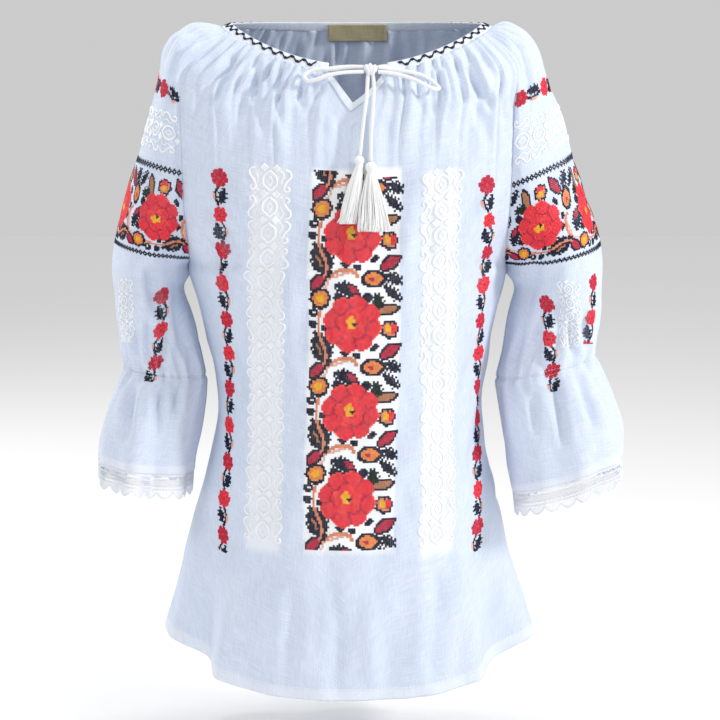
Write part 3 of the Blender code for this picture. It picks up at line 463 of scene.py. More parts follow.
def panelFolds(u, z, folds):
    height = np.zeros_like(u)
    for topU, bottomU, topZ, bottomZ, peak, foot, width in folds:
        t = (topZ - z) / (topZ - bottomZ)
        live = (t > 0) & (t < 1)
        tc = np.clip(t, 0, 1)
        if foot:
            size = np.where(tc < 0.5, peak * np.minimum(1, tc * 2), mix(peak, foot, tc * 2 - 1))
        else:
            size = peak * np.sin(np.pi * tc ** 0.7)
        height += np.where(live, size * bump((u - mix(topU, bottomU, tc)) / width), 0.0)
    return height


def panelRelief(points, u, v, folds, front):
    j = (u + 1) / 2 * gathers["frontRidges" if front else "backRidges"]
    uneven = j + 0.32 * np.sin(j * 0.83 + 1.0) + 0.18 * np.sin(j * 2.1)
    reach = gathers["reach"] + 1.6 * np.sin(j * 1.3 + 0.4)
    fade = np.clip(1 - v / reach, 0, 1) ** 1.3
    size = mix(0.7, 2.6 * (0.66 + 0.34 * np.sin(j * 2.3)), np.clip(v * 1.4, 0, 1))
    gather = (1.7 * np.abs(np.sin(np.pi * (uneven - 1) / 2)) ** 0.75 - 1) * size * gathers["ridge"] * fade
    fine = np.cos(np.pi * (j * 2.35 + 0.5 * np.sin(j * 1.9))) * gathers["fine"] * np.clip(1 - v / 2.2, 0, 1)
    if front:
        besideSlit = ease(1 - slitShare(u) * 6 * np.clip(2.2 - v, 0, 1))
        gather, fine = gather * besideSlit, fine * besideSlit
    height = panelFolds(u, points[..., 2], folds) + gather + fine + crumple(points) * np.clip(v - 0.5, 0, 1)
    return height * ease((1 - np.abs(u)) / 0.035)


def sleeveRelief(q, v, folds, phase):
    j = q * sleeveColumns
    a = 2 * np.pi * q
    uneven = j + 0.3 * np.sin(j * 1.1 + phase) + 0.2 * np.sin(j * 2.7)
    ridge = 1.7 * np.abs(np.sin(np.pi * (uneven - 1) / 2)) ** 0.75 - 1
    height = np.where(v < 4, ridge * mix(0.5, 1.6, np.clip(v, 0, 1)) * np.clip(1 - v / 4, 0, 1), 0.0)
    height += np.cos(np.pi * j * 2.4) * gathers["sleeveFine"] * np.clip(1 - v / 1.6, 0, 1)
    nearCuff = np.clip(1 - np.abs(v - cuffRow) / cuff["reach"], 0, 1)
    pucker = np.cos(np.pi * j * 1.9 + phase) * nearCuff ** 3
    height += cuff["ridge"] * nearCuff * ridge + cuff["fine"] * pucker
    height -= cuff["pinch"] * np.exp(-((v - cuffRow) / 0.09) ** 2)
    share = np.clip((v - cuffRow) / (lastSleeveRow - cuffRow), 0, 1)
    wave = frill["large"] * np.cos(frill["largeWaves"] * a + phase)
    wave = wave + frill["small"] * np.cos(frill["smallWaves"] * a + 2 * phase)
    height += wave * share * (0.62 - 0.38 * np.cos(a))
    for column, first, last, size, width in folds:
        t = (v - first) / (last - first)
        grow = t if last > lastSleeveRow else np.sin(np.pi * np.clip(t, 0, 1))
        height += np.where((t > 0) & (t < 1), size * grow * bump((j - column) / width), 0.0)
    edge = np.minimum(q, 1 - q) * sleeveColumns
    return height * np.where(v <= underarmRow, ease(edge / 1.2), 1.0)


def creaseRelief(points, creases):
    x, z = points[..., 0], points[..., 2]
    height = np.zeros_like(x)
    for y0, x0, z0, x1, z1, width, size in creases:
        dx, dz = x1 - x0, z1 - z0
        length = math.hypot(dx, dz)
        t = ((x - x0) * dx + (z - z0) * dz) / length ** 2
        sway = 0.06 * length * np.sin(np.clip(t, 0, 1) * 4.1 + width)
        far = ((x - x0) * dz - (z - z0) * dx) / length + sway * 0.4
        taper = np.sin(np.pi * np.clip(t, 0, 1)) ** 0.6
        shape = np.exp(-(far / width) ** 2) - 0.28 * np.exp(-((np.abs(far) - 2.3 * width) / width) ** 2)
        live = (points[..., 1] < 0) == (y0 < 0)
        height += np.where((t > 0) & (t < 1) & live, creaseGain * size * shape * taper, 0.0)
    return height


def crumple(points):
    # Soft uneven dents of worn cloth, none longer than a hand
    x, z = points[..., 0] + 0.6 * points[..., 1], points[..., 2]
    slow = np.sin(x / 9.5 + 1.4 * np.sin(z / 27) + 0.5) * np.sin(z / 38 + 1.1 * np.sin(x / 31))
    fast = np.sin(x / 4.6 + 1.1 * np.sin(z / 15)) * np.sin(z / 21 + 0.9 * np.sin(x / 17) + 1.7)
    slant = np.sin(x / 8.3 - z / 14 + 1.2 * np.sin(z / 49)) * np.sin(x / 43 + z / 61)
    return dents["slow"] * slow + dents["fast"] * fast + dents["slant"] * slant


def makeObject(name, points, faces, material, smooth=True):
    mesh = bpy.data.meshes.new(name)
    mesh.from_pydata((np.asarray(points) * mm).tolist(), [], faces)
    mesh.materials.append(material)
    mesh.update()
    if smooth:
        mesh.polygons.foreach_set("use_smooth", [True] * len(mesh.polygons))
    piece = bpy.data.objects.new(name, mesh)
    bpy.context.scene.collection.objects.link(piece)
    return piece


def paintUv(piece, uv):
    layer = piece.data.uv_layers.new(name="cloth")
    loops = np.zeros(len(piece.data.loops), np.int32)
    piece.data.loops.foreach_get("vertex_index", loops)
    layer.data.foreach_set("uv", (uv * mm)[loops].reshape(-1))


def shell(name, middle, normals, half, material, uv, masks):
    rows, columns = middle.shape[:2]
    outer, inner = middle + normals * half[..., None], middle - normals * half[..., None]
    points = np.concatenate([outer.reshape(-1, 3), inner.reshape(-1, 3)])
    index = np.arange(rows * columns).reshape(rows, columns)
    a, b, c, d = index[:-1, :-1], index[:-1, 1:], index[1:, 1:], index[1:, :-1]
    quads = np.stack([a, b, c, d], axis=-1).reshape(-1, 4)
    turned = np.sum(np.cross(middle[2, 3] - middle[2, 2], middle[3, 2] - middle[2, 2]) * normals[2, 2]) < 0
    count = rows * columns
    outerFaces = quads[:, ::-1] if turned else quads
    innerFaces = (quads if turned else quads[:, ::-1]) + count
    rims = []
    for line, flip in ((index[0], False), (index[-1], True), (index[:, 0], True), (index[:, -1], False)):
        pairs = np.stack([line[:-1], line[:-1] + count, line[1:] + count, line[1:]], axis=-1)
        rims.append(pairs[:, ::-1] if flip != turned else pairs)
    faces = np.concatenate([outerFaces, innerFaces] + rims)
    piece = makeObject(name, points, faces.tolist(), material)
    paintUv(piece, np.concatenate([uv.reshape(-1, 2)] * 2))
    for key, values in masks.items():
        attribute = piece.data.attributes.new(key, "FLOAT", "POINT")
        attribute.data.foreach_set("value", np.concatenate([values.reshape(-1)] * 2).astype(np.float32))
    return piece


def clothUv(points):
    s = arcs(points)
    s -= s[:, s.shape[1] // 2][:, None]
    return np.stack([s, -arcs(points.transpose(1, 0, 2)).T], axis=-1)


# Shader groups and materials
def newGroup(name, inputs, outputs):
    group = bpy.data.node_groups.new(name, "ShaderNodeTree")
    for label, kind, value in inputs:
        socket = group.interface.new_socket(label, in_out="INPUT", socket_type=kind)
        if value is not None:
            socket.default_value = value
    for label, kind in outputs:
        group.interface.new_socket(label, in_out="OUTPUT", socket_type=kind)
    return group, group.nodes.new("NodeGroupInput"), group.nodes.new("NodeGroupOutput")


def addNode(tree, kind, values=None, links=None, **settings):
    node = tree.nodes.new(kind)
    for key, value in settings.items():
        setattr(node, key, value)
    for key, value in (values or {}).items():
        node.inputs[key].default_value = value
    for key, source in (links or {}).items():
        tree.links.new(source, node.inputs[key])
    return node


def mathNode(tree, operation, a, b=None, c=None):
    node = tree.nodes.new("ShaderNodeMath")
    node.operation = operation
    for n, value in enumerate((a, b, c)):
        if value is None:
            continue
        if hasattr(value, "links"):
            tree.links.new(value, node.inputs[n])
        else:
            node.inputs[n].default_value = value
    return node.outputs[0]


def weaveGroup():
    group, start, end = newGroup(
        "linenWeave",
        [("Vector", "NodeSocketVector", None), ("Pitch", "NodeSocketFloat", 0.0007)],
        [("Height", "NodeSocketFloat"), ("Slub", "NodeSocketFloat")],
    )
    split = addNode(group, "ShaderNodeSeparateXYZ", links={0: start.outputs["Vector"]})
    vector = start.outputs["Vector"]
    drift = addNode(group, "ShaderNodeTexNoise", {"Scale": 240.0, "Detail": 2.0}, {"Vector": vector})
    shift = mathNode(group, "MULTIPLY", mathNode(group, "SUBTRACT", drift.outputs[0], 0.5), 2.2)
    waves = []
    for axis in (0, 1):
        turns = mathNode(group, "DIVIDE", split.outputs[axis], start.outputs["Pitch"])
        waves.append(mathNode(group, "SINE", mathNode(group, "MULTIPLY_ADD", turns, 2 * math.pi, shift)))
    cross = mathNode(group, "MULTIPLY", waves[0], waves[1])
    streaks = []
    for scale in ((760.0, 70.0, 1.0), (55.0, 820.0, 1.0)):
        stretch = addNode(group, "ShaderNodeMapping", {"Scale": scale}, {"Vector": vector}).outputs[0]
        noise = addNode(group, "ShaderNodeTexNoise", {"Scale": 1.0, "Detail": 3.0}, {"Vector": stretch})
        streaks.append(noise.outputs[0])
    slub = mathNode(group, "SUBTRACT", mathNode(group, "ADD", streaks[0], streaks[1]), 1.0)
    height = mathNode(group, "MULTIPLY_ADD", cross, 0.35, mathNode(group, "MULTIPLY", slub, 1.3))
    group.links.new(height, end.inputs["Height"])
    group.links.new(slub, end.inputs["Slub"])
    return group


weave = weaveGroup()


def newMaterial(name, roughness, specular):
    material = bpy.data.materials.new(name)
    material.use_nodes = True
    shader = material.node_tree.nodes["Principled BSDF"]
    shader.inputs["Roughness"].default_value = roughness
    shader.inputs["Specular IOR Level"].default_value = specular
    return material, material.node_tree, shader


def blended(tree, factor, a, b):
    node = addNode(tree, "ShaderNodeMix", {"B": (*b, 1)}, {"Factor": factor}, data_type="RGBA")
    if hasattr(a, "links"):
        tree.links.new(a, node.inputs["A"])
    else:
        node.inputs["A"].default_value = (*a, 1)
    return node.outputs["Result"]


def raised(tree, shader, height, strength, distance):
    relief = addNode(tree, "ShaderNodeBump", {"Strength": strength, "Distance": distance}, {"Height": height})
    tree.links.new(relief.outputs[0], shader.inputs["Normal"])


def clothMaterial(name, look, ground=False):
    material, tree, shader = newMaterial(name, look["roughness"], 0.25)
    shader.inputs["Sheen Weight"].default_value = look["sheen"]
    shader.inputs["Sheen Roughness"].default_value = 0.5
    vector = addNode(tree, "ShaderNodeUVMap", uv_map="cloth").outputs["UV"]
    threads = addNode(tree, "ShaderNodeGroup", {"Pitch": look["pitch"]}, {"Vector": vector}, node_tree=weave)
    cloudy = addNode(tree, "ShaderNodeTexNoise", {"Scale": 14.0, "Detail": 3.0}, {"Vector": vector})
    tone = mathNode(tree, "ADD", mathNode(tree, "MULTIPLY", threads.outputs["Slub"], 1.8), 0.5)
    tone = mathNode(tree, "MULTIPLY_ADD", cloudy.outputs[0], 0.8, mathNode(tree, "SUBTRACT", tone, 0.4))
    base = blended(tree, tone, look["shade"], look["light"])
    if ground:
        # Close stitched ground and double cloth at the hems are whiter
        mask = addNode(tree, "ShaderNodeAttribute", attribute_name="ground")
        base = blended(tree, mask.outputs["Fac"], base, look["ground"])
    tree.links.new(base, shader.inputs["Base Color"])
    raised(tree, shader, threads.outputs["Height"], look["relief"], 0.00025)
    return material


linen = clothMaterial("linen", {
    "shade": (0.60, 0.675, 0.82), "light": (0.73, 0.80, 0.93), "ground": (0.93, 0.95, 0.97),
    "pitch": 0.0007, "relief": 0.35, "sheen": 0.1, "roughness": 0.85,
}, ground=True)
trimLinen = clothMaterial("trimLinen", {
    "shade": (0.76, 0.82, 0.92), "light": (0.86, 0.91, 0.98),
    "pitch": 0.0007, "relief": 0.5, "sheen": 0.1, "roughness": 0.85,
})
labelSatin = clothMaterial("labelSatin", {
    "shade": (0.38, 0.33, 0.19), "light": (0.52, 0.46, 0.28),
    "pitch": 0.0005, "relief": 0.35, "sheen": 0.05, "roughness": 0.5,
})


def cordMaterial(name, colour, roughness):
    # Fine fibres laid along the plies
    material, tree, shader = newMaterial(name, roughness, 0.3)
    vector = addNode(tree, "ShaderNodeUVMap", uv_map="cloth").outputs["UV"]
    stretch = addNode(tree, "ShaderNodeMapping", {"Scale": (208.0, 3600.0, 1.0)}, {"Vector": vector})
    fibre = addNode(tree, "ShaderNodeTexNoise", {"Scale": 1.0, "Detail": 3.0}, {"Vector": stretch.outputs[0]})
    base = blended(tree, fibre.outputs[0], [c * 0.86 for c in colour], colour)
    tree.links.new(base, shader.inputs["Base Color"])
    raised(tree, shader, fibre.outputs[0], 0.5, 0.0003)
    return material


cordCotton = cordMaterial("cordCotton", (0.93, 0.94, 0.95), 0.6)
satinWhite = cordMaterial("satinWhite", (0.95, 0.97, 1.0), 0.4)


def threadMaterial(name, roughness, gloss):
    material, tree, shader = newMaterial(name, roughness, gloss)
    colour = addNode(tree, "ShaderNodeAttribute", attribute_name="tint")
    vector = addNode(tree, "ShaderNodeTexCoord").outputs["Object"]
    fibre = addNode(tree, "ShaderNodeTexNoise", {"Scale": 1400.0, "Detail": 2.0}, {"Vector": vector})
    shade = mathNode(tree, "MULTIPLY_ADD", fibre.outputs[0], 0.3, 0.85)
    tone = addNode(tree, "ShaderNodeVectorMath", links={0: colour.outputs["Color"]}, operation="SCALE")
    tree.links.new(shade, tone.inputs["Scale"])
    tree.links.new(tone.outputs[0], shader.inputs["Base Color"])
    raised(tree, shader, fibre.outputs[0], 0.4, 0.0002)
    return material


cottonThread = threadMaterial("cottonThread", 0.6, 0.2)
satinThread = threadMaterial("satinThread", 0.42, 0.5)


def geometryTree(name, extra):
    tree = bpy.data.node_groups.new(name, "GeometryNodeTree")
    tree.interface.new_socket("Geometry", in_out="INPUT", socket_type="NodeSocketGeometry")
    for label, kind in extra:
        tree.interface.new_socket(label, in_out="INPUT", socket_type=kind)
    tree.interface.new_socket("Geometry", in_out="OUTPUT", socket_type="NodeSocketGeometry")
    return tree, tree.nodes.new("NodeGroupInput"), tree.nodes.new("NodeGroupOutput")


def finishTree(tree, geometry, start, end):
    real = addNode(tree, "GeometryNodeRealizeInstances", links={"Geometry": geometry})
    smooth = addNode(tree, "GeometryNodeSetShadeSmooth", links={"Geometry": real.outputs[0]})
    paint = addNode(tree, "GeometryNodeSetMaterial", links={"Geometry": smooth.outputs[0],
                                                            "Material": start.outputs["Material"]})
    tree.links.new(paint.outputs[0], end.inputs[0])


def named(tree, label, kind):
    node = addNode(tree, "GeometryNodeInputNamedAttribute", {"Name": label}, data_type=kind)
    return node.outputs["Attribute"]


def stitchTree():
    tree, start, end = geometryTree("crossStitches", [("Stitch", "NodeSocketObject"),
                                                      ("Material", "NodeSocketMaterial")])
    stitch = addNode(tree, "GeometryNodeObjectInfo", links={"Object": start.outputs["Stitch"]})
    turn = addNode(tree, "FunctionNodeAxesToRotation", links={0: named(tree, "face", "FLOAT_VECTOR"),
                                                              1: named(tree, "side", "FLOAT_VECTOR")})
    turn.primary_axis = "Z"
    turn.secondary_axis = "X"
    place = addNode(tree, "GeometryNodeInstanceOnPoints", links={
        "Points": start.outputs["Geometry"], "Instance": stitch.outputs["Geometry"],
        "Rotation": turn.outputs[0], "Scale": named(tree, "size", "FLOAT")})
    finishTree(tree, place.outputs[0], start, end)
    return tree


def threadTree():
    tree, start, end = geometryTree("threads", [("Radius", "NodeSocketFloat"), ("Sides", "NodeSocketInt"),
                                                ("Material", "NodeSocketMaterial")])
    curve = addNode(tree, "GeometryNodeMeshToCurve", links={"Mesh": start.outputs["Geometry"]})
    ring = addNode(tree, "GeometryNodeCurvePrimitiveCircle", links={"Resolution": start.outputs["Sides"],
                                                                    "Radius": start.outputs["Radius"]})
    tube = addNode(tree, "GeometryNodeCurveToMesh", {"Fill Caps": True},
                   {"Curve": curve.outputs[0], "Profile Curve": ring.outputs[0]})
    finishTree(tree, tube.outputs[0], start, end)
    return tree


stitchNodes = stitchTree()
threadNodes = threadTree()


def runNodes(name, points, edges, attributes, tree, inputs):
    mesh = bpy.data.meshes.new(name)
    mesh.from_pydata((np.asarray(points) * mm).tolist(), edges, [])
    for key, (kind, values) in attributes.items():
        attribute = mesh.attributes.new(key, kind, "POINT")
        field = {"FLOAT": "value", "FLOAT_VECTOR": "vector", "FLOAT_COLOR": "color"}[kind]
        attribute.data.foreach_set(field, np.asarray(values, np.float32).reshape(-1))
    source = bpy.data.objects.new(name, mesh)
    bpy.context.scene.collection.objects.link(source)
    modifier = source.modifiers.new("make", "NODES")
    modifier.node_group = tree
    for item in tree.interface.items_tree:
        if item.in_out == "INPUT" and item.name in inputs:
            modifier[item.identifier] = inputs[item.name]
    source.update_tag()
    bpy.context.view_layer.update()
    made = bpy.data.meshes.new_from_object(source.evaluated_get(bpy.context.evaluated_depsgraph_get()))
    source.modifiers.remove(modifier)
    source.data = made
    bpy.data.meshes.remove(mesh)
    made.name = name
    return source


def crossStitch():
    # Two crossed arms, the upper one a little higher; sizes are in cells
    points, faces = [], []
    for arm, lift in ((1, 0.0), (-1, 0.09)):
        along = np.array([0.707, 0.707 * arm, 0])
        across = np.array([-0.707 * arm, 0.707, 0])
        start = len(points)
        for a, c in ((-0.66, -0.29), (-0.66, 0.29), (0.66, 0.29), (0.66, -0.29)):
            points.append(along * a + across * c + np.array([0, 0, -0.05]))
        for a in (-0.42, 0.42):
            points.append(along * a + np.array([0, 0, 0.22 + lift]))
        for face in ((1, 0, 4), (0, 3, 5, 4), (3, 2, 5), (2, 1, 4, 5)):
            faces.append([start + n for n in face])
    return points, faces


stitchMesh = bpy.data.meshes.new("stitchShape")
stitchPoints, stitchFaces = crossStitch()
stitchMesh.from_pydata([(p * mm).tolist() for p in stitchPoints], [], stitchFaces)
stitchShape = bpy.data.objects.new("stitchShape", stitchMesh)

# Colours of the threads
tints = {
    1: (0.014, 0.016, 0.04), 2: (0.88, 0.05, 0.07), 3: (0.55, 0.03, 0.07), 4: (0.88, 0.30, 0.09),
    5: (0.95, 0.52, 0.03), 6: (0.78, 0.30, 0.17), 7: (0.50, 0.23, 0.12), 8: (0.86, 0.48, 0.40),
    9: (0.93, 0.94, 0.96), 10: (0.012, 0.03, 0.022), 11: (0.95, 0.10, 0.08),
}
navy, red, crimson, orange, yellow, salmon, tan, pink, white, green, scarlet = range(1, 12)

# Large pattern, counted in stitches from the middle of its flower; it repeats every 47 down
repeat = 47
# Leaves: both ends, half width, fill, edge, width of the edge
patternLeaves = [
    (-19.8, 3.6, -12.4, 22.4, 5.8, navy, navy, 1.2), (-14.0, -26.8, -22.6, -17.8, 3.7, crimson, navy, 1.3),
    (-9.6, -21.2, 4.8, -15.0, 3.8, navy, navy, 1.2), (-2.4, -20.4, 3.2, -16.6, 1.5, crimson, crimson, 0.5),
    (-6.2, -32.2, -1.8, -30.2, 1.5, navy, navy, 0.5), (0.2, -31.2, 5.0, -29.0, 1.6, navy, navy, 0.5),
    (17.4, -26.4, 26.6, -21.8, 3.0, navy, navy, 0.6), (16.4, -20.8, 26.2, -11.8, 2.6, navy, navy, 0.6),
    (13.4, -16.4, 13.7, -7.4, 3.0, green, green, 0.6), (11.6, -6.2, 25.6, -8.8, 3.4, tan, navy, 1.3),
    (14.2, 18.6, 26.2, 10.8, 3.9, crimson, navy, 1.3), (9.4, 14.0, 14.2, 11.2, 1.6, navy, navy, 0.5),
]
# Round forms: middle, half sizes, petals, depth between petals, fill, edge, width of the edge
patternRounds = [
    (-17.2, -13.5, 5.9, 5.9, 8, 0.14, orange, navy, 1.5),
    (-17.2, -13.5, 2.2, 2.2, 4, 0.1, yellow, yellow, 0.3),
    (-7.7, -14.1, 2.6, 2.4, 4, 0.1, navy, navy, 0.5), (-20.9, -5.9, 2.7, 2.5, 5, 0.2, white, navy, 1.5),
    (-21.2, 0.4, 2.5, 2.2, 5, 0.2, navy, navy, 0.5), (-14.9, 2.0, 2.0, 2.0, 4, 0.1, navy, navy, 0.5),
    (8.2, -14.3, 2.6, 2.5, 4, 0.1, navy, navy, 0.5), (11.2, -23.9, 7.0, 4.7, 4, 0.05, orange, navy, 1.4),
    (10.4, -23.6, 1.6, 1.2, 3, 0.2, crimson, crimson, 0.3),
    (19.6, 3.1, 5.2, 5.2, 7, 0.16, salmon, navy, 1.4), (21.2, 2.6, 2.6, 2.6, 4, 0.1, red, red, 0.3),
    (19.0, 2.6, 1.8, 2.0, 3, 0.1, yellow, yellow, 0.3),
]
# Rings of petals: count, reach, size, turn
flower = {"petals": (8, 9.6, 5.9, 0.25), "heart": (5, 4.6, 4.3, 0.9)}
# Stems: points and half width and colour
patternStems = [
    ([(-17.0, -8.0), (-18.0, -2.0), (-17.8, 4.0), (-16.6, 8.4), (-14.4, 12.6), (-13.4, 17.6), (-14.6, 21.4)],
     0.75, salmon),
    ([(-19.4, 10.6), (-17.6, 12.6), (-16.6, 16.0)], 0.7, tan),
    ([(-12.8, -23.6), (-10.4, -26.6), (-6.4, -28.4), (-1.6, -28.6), (1.6, -27.4), (2.8, -25.4)],
     0.95, salmon),
    ([(-12.8, -23.6), (-13.4, -20.8), (-14.6, -18.8)], 0.6, pink),
    ([(-10.0, -24.6), (-6.0, -26.4), (-2.0, -26.8)], 0.5, pink),
]


def leafMask(x, y, x0, y0, x1, y1, width):
    dx, dy = x1 - x0, y1 - y0
    length = math.hypot(dx, dy)
    t = ((x - x0) * dx + (y - y0) * dy) / length ** 2
    d = np.abs((x - x0) * dy - (y - y0) * dx) / length
    room = width * np.sin(np.pi * np.clip(t, 0, 1)) ** 0.75 - d
    return np.where((t > 0) & (t < 1), room, -9.0)


def roundMask(x, y, cx, cy, rx, ry, petals, depth):
    a = np.arctan2((y - cy) / ry, (x - cx) / rx)
    r = np.hypot((x - cx) / rx, (y - cy) / ry)
    edge = 1 - depth * (1 - np.abs(np.cos(petals * a / 2 + 0.4))) ** 1.4
    return (edge - r) * min(rx, ry)


def petalRing(x, y, count, reach, size, turn):
    a = np.arctan2(y, x) - turn
    step = 2 * math.pi / count
    nearest = np.round(a / step) * step + turn
    room = size - np.hypot(x - reach * np.cos(nearest), y - reach * np.sin(nearest))
    between = np.hypot(x, y) * np.abs(np.sin((a / step - np.floor(a / step) - 0.5) * step))
    return room, between


def stemMask(x, y, route):
    best = np.full(np.shape(x), 99.0)
    for (x0, y0), (x1, y1) in zip(route, route[1:]):
        dx, dy = x1 - x0, y1 - y0
        t = np.clip(((x - x0) * dx + (y - y0) * dy) / (dx * dx + dy * dy), 0, 1)
        best = np.minimum(best, np.hypot(x - x0 - t * dx, y - y0 - t * dy))
    return best


def flowerOn(colours, x, y):
    # A ring of petals, a smaller ring on it with darker edges, and its heart
    r, a = np.hypot(x, y), np.arctan2(y, x)
    outer, between = petalRing(x, y, *flower["petals"])
    inner, _ = petalRing(x, y, *flower["heart"])
    full = (outer > 0) | (r < flower["petals"][1])
    ring = (np.abs(inner) < 0.5) & (np.sin(a * 2 + 0.4) > -0.45)
    for mask, colour in (
        (full, red), (full & (between < 0.55) & (r > 8.2), crimson),
        ((outer > 0) & (outer < 0.75) & (np.sin(a * 3 + 1.0) > 0.1), scarlet),
        (full & ring & (r > 5.5), crimson),
        ((inner > 0.9) & (inner < 1.7) & (np.sin(a * 4) > 0.4), scarlet),
        (roundMask(x, y, -0.7, -0.6, 2.6, 3.6, 5, 0.2) > 0, yellow), (np.hypot(x - 0.9, y - 0.2) < 1.2, navy),
    ):
        colours = np.where(mask, colour, colours)
    return colours


def largePattern(x, y):
    colours = np.zeros(np.shape(x), int)
    for shift in (-repeat, 0, repeat):
        yy = (y + repeat / 2) % repeat - repeat / 2 + shift
        for route, width, colour in patternStems[2:]:
            colours = np.where(stemMask(x, yy, route) < width, colour, colours)
        for x0, y0, x1, y1, width, fill, edge, rim in patternLeaves:
            room = leafMask(x, yy, x0, y0, x1, y1, width)
            ragged = room + 0.9 * np.sin(x * 2.4 + yy * 1.7) if edge == fill and width > 2.4 else room
            colours = np.where(ragged > 0, np.where(room < rim, edge, fill), colours)
        for route, width, colour in patternStems[:2]:
            colours = np.where(stemMask(x, yy, route) < width, colour, colours)
        for cx, cy, rx, ry, petals, depth, fill, edge, rim in patternRounds:
            room = roundMask(x, yy, cx, cy, rx, ry, petals, depth)
            colours = np.where(room > 0, np.where(room < rim, edge, fill), colours)
        colours = flowerOn(colours, x, yy)
    return colours


def panelPattern(x, y):
    # The first rows leave out what the next flower up would bring
    top = np.where(x < -8, -33.5, np.where(x < 10, -31.5, -29.0))
    return np.where((y < top) | ((y < -30) & (np.hypot(x, y + repeat) < 16)), 0, largePattern(x, y))


chainFiner = 0.79


def borderPattern(x, y):
    reach = np.abs(np.mod(y, 4) - 2) + np.abs(x)
    return np.where((reach == 1) | (reach == 2), navy, 0)


def chainPattern(x, y):
    x, y = x * chainFiner, y * chainFiner
    unit = np.floor((y + 5) / 20).astype(int)
    yy = y - unit * 20
    xx = np.where(unit % 2 == 0, x, -x)
    r = np.hypot(xx, yy)
    room, between = petalRing(xx, yy, 8, 3.5, 1.6, 0.2)
    petals = np.where(unit % 2 == 0, crimson, red)
    deep = np.where(unit % 2 == 0, red, crimson)
    colours = np.where((room > 0) | (r < 3.7), petals, 0)
    colours = np.where((colours > 0) & (((between < 0.3) & (r > 2.4)) | (r < 1.0)), deep, colours)
    stem = stemMask(xx, yy, [(-1.2, 4.8), (-2.6, 8.0), (-2.4, 11.4), (-0.6, 14.8)])
    leaf = leafMask(xx, yy, 3.0, 5.2, 0.2, 14.0, 2.6)
    blush = leafMask(xx, yy, -4.0, 7.4, -3.0, 12.2, 1.0)
    colours = np.where((blush > 0) & (colours == 0), pink, colours)
    colours = np.where((leaf + 0.8 * np.sin(yy * 2.6) > 0.1) & (colours == 0), navy, colours)
    return np.where((stem < 0.75) & (colours == 0), navy, colours)


# Bands lie on a piece's outer points: a line across it for each distance down
bandStep = 12.0


def downBand(grid, anchors):
    points, normals = grid[0], grid[1]
    facing = normals[..., 1] < 0.1
    last = points.shape[1] - 1
    xs, zs = np.array(anchors).T
    rows, centres = [], []
    for z in np.linspace(zs[0], zs[-1], max(2, int((zs[0] - zs[-1]) / bandStep))):
        x = np.interp(-z, -zs, xs)
        far = np.where(facing, np.hypot(points[..., 0] - x, points[..., 2] - z), 1e9)
        r, c = np.unravel_index(np.argmin(far), far.shape)
        width = points[r, min(c + 1, last), 0] - points[r, c - 1, 0] + 1e-6
        rows.append(r)
        centres.append(c + np.clip((x - points[r, c, 0]) / width * 2, -0.5, 0.5))
    order = np.argsort(rows)
    every, index = np.arange(len(points)), np.arange(last + 1)
    centre = np.interp(every, np.array(rows)[order], np.array(centres)[order])
    across = arcs(points)
    origin = np.array([np.interp(centre[r], index, across[r]) for r in every])
    down = arcs(np.array([along(centre[r], index, points[r]) for r in every]))
    down -= down[min(rows)]

    def line(t):
        r = float(np.clip(np.interp(t, down, every), 0, len(every) - 1.001))
        i, f = int(r), r - int(r)
        return (mix(points[i], points[i + 1], f), mix(normals[i], normals[i + 1], f),
                mix(across[i], across[i + 1], f) - mix(origin[i], origin[i + 1], f))
    return {"line": line, "length": float(down[max(rows)]), "down": down, "across": across - origin[:, None]}


def ringBand(grid, top, bottom, height, x, z):
    points, normals, q = grid[0], grid[1], grid[2][0]
    far = np.where(normals[..., 1] < 0, np.hypot(points[..., 0] - x, points[..., 2] - z), 1e9)
    reference = q[np.unravel_index(np.argmin(far), far.shape)[1]]
    perRow = (len(points) - 1) / lastSleeveRow
    columns = np.arange(points.shape[1])
    swell = np.sin(np.pi * q) ** 0.8

    def line(t):
        v = mix(mix(top[0], top[1], swell), mix(bottom[0], bottom[1], swell), t / height) * perRow
        i = np.clip(v.astype(int), 0, len(points) - 2)
        f = (v - i)[:, None]
        p = mix(points[i, columns], points[i + 1, columns], f)
        s = arcs(p)
        return p, mix(normals[i, columns], normals[i + 1, columns], f), s - np.interp(reference, q, s)
    return {"line": line, "length": height}


def place(band, ts, ss, lift):
    spots, faces, sides = np.zeros((3, len(ts), 3))
    keep = np.zeros(len(ts), bool)
    for t in np.unique(ts):
        chosen = np.nonzero(ts == t)[0]
        p, n, s = band["line"](t)
        goal = ss[chosen]
        keep[chosen] = (goal > s[0] + 1.2) & (goal < s[-1] - 1.2)
        spots[chosen] = along(goal, s, p)
        faces[chosen] = along(goal, s, n)
        sides[chosen] = along(goal + 0.8, s, p) - along(goal - 0.8, s, p)
    faces /= np.linalg.norm(faces, axis=-1, keepdims=True) + 1e-9
    return spots + faces * lift, faces, sides, keep


def fit(piece, slot, *nodes):
    if nodes:
        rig.replaces(piece, *nodes)
    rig.ride(piece, "root")
    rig.slot(piece, slot)
    return piece


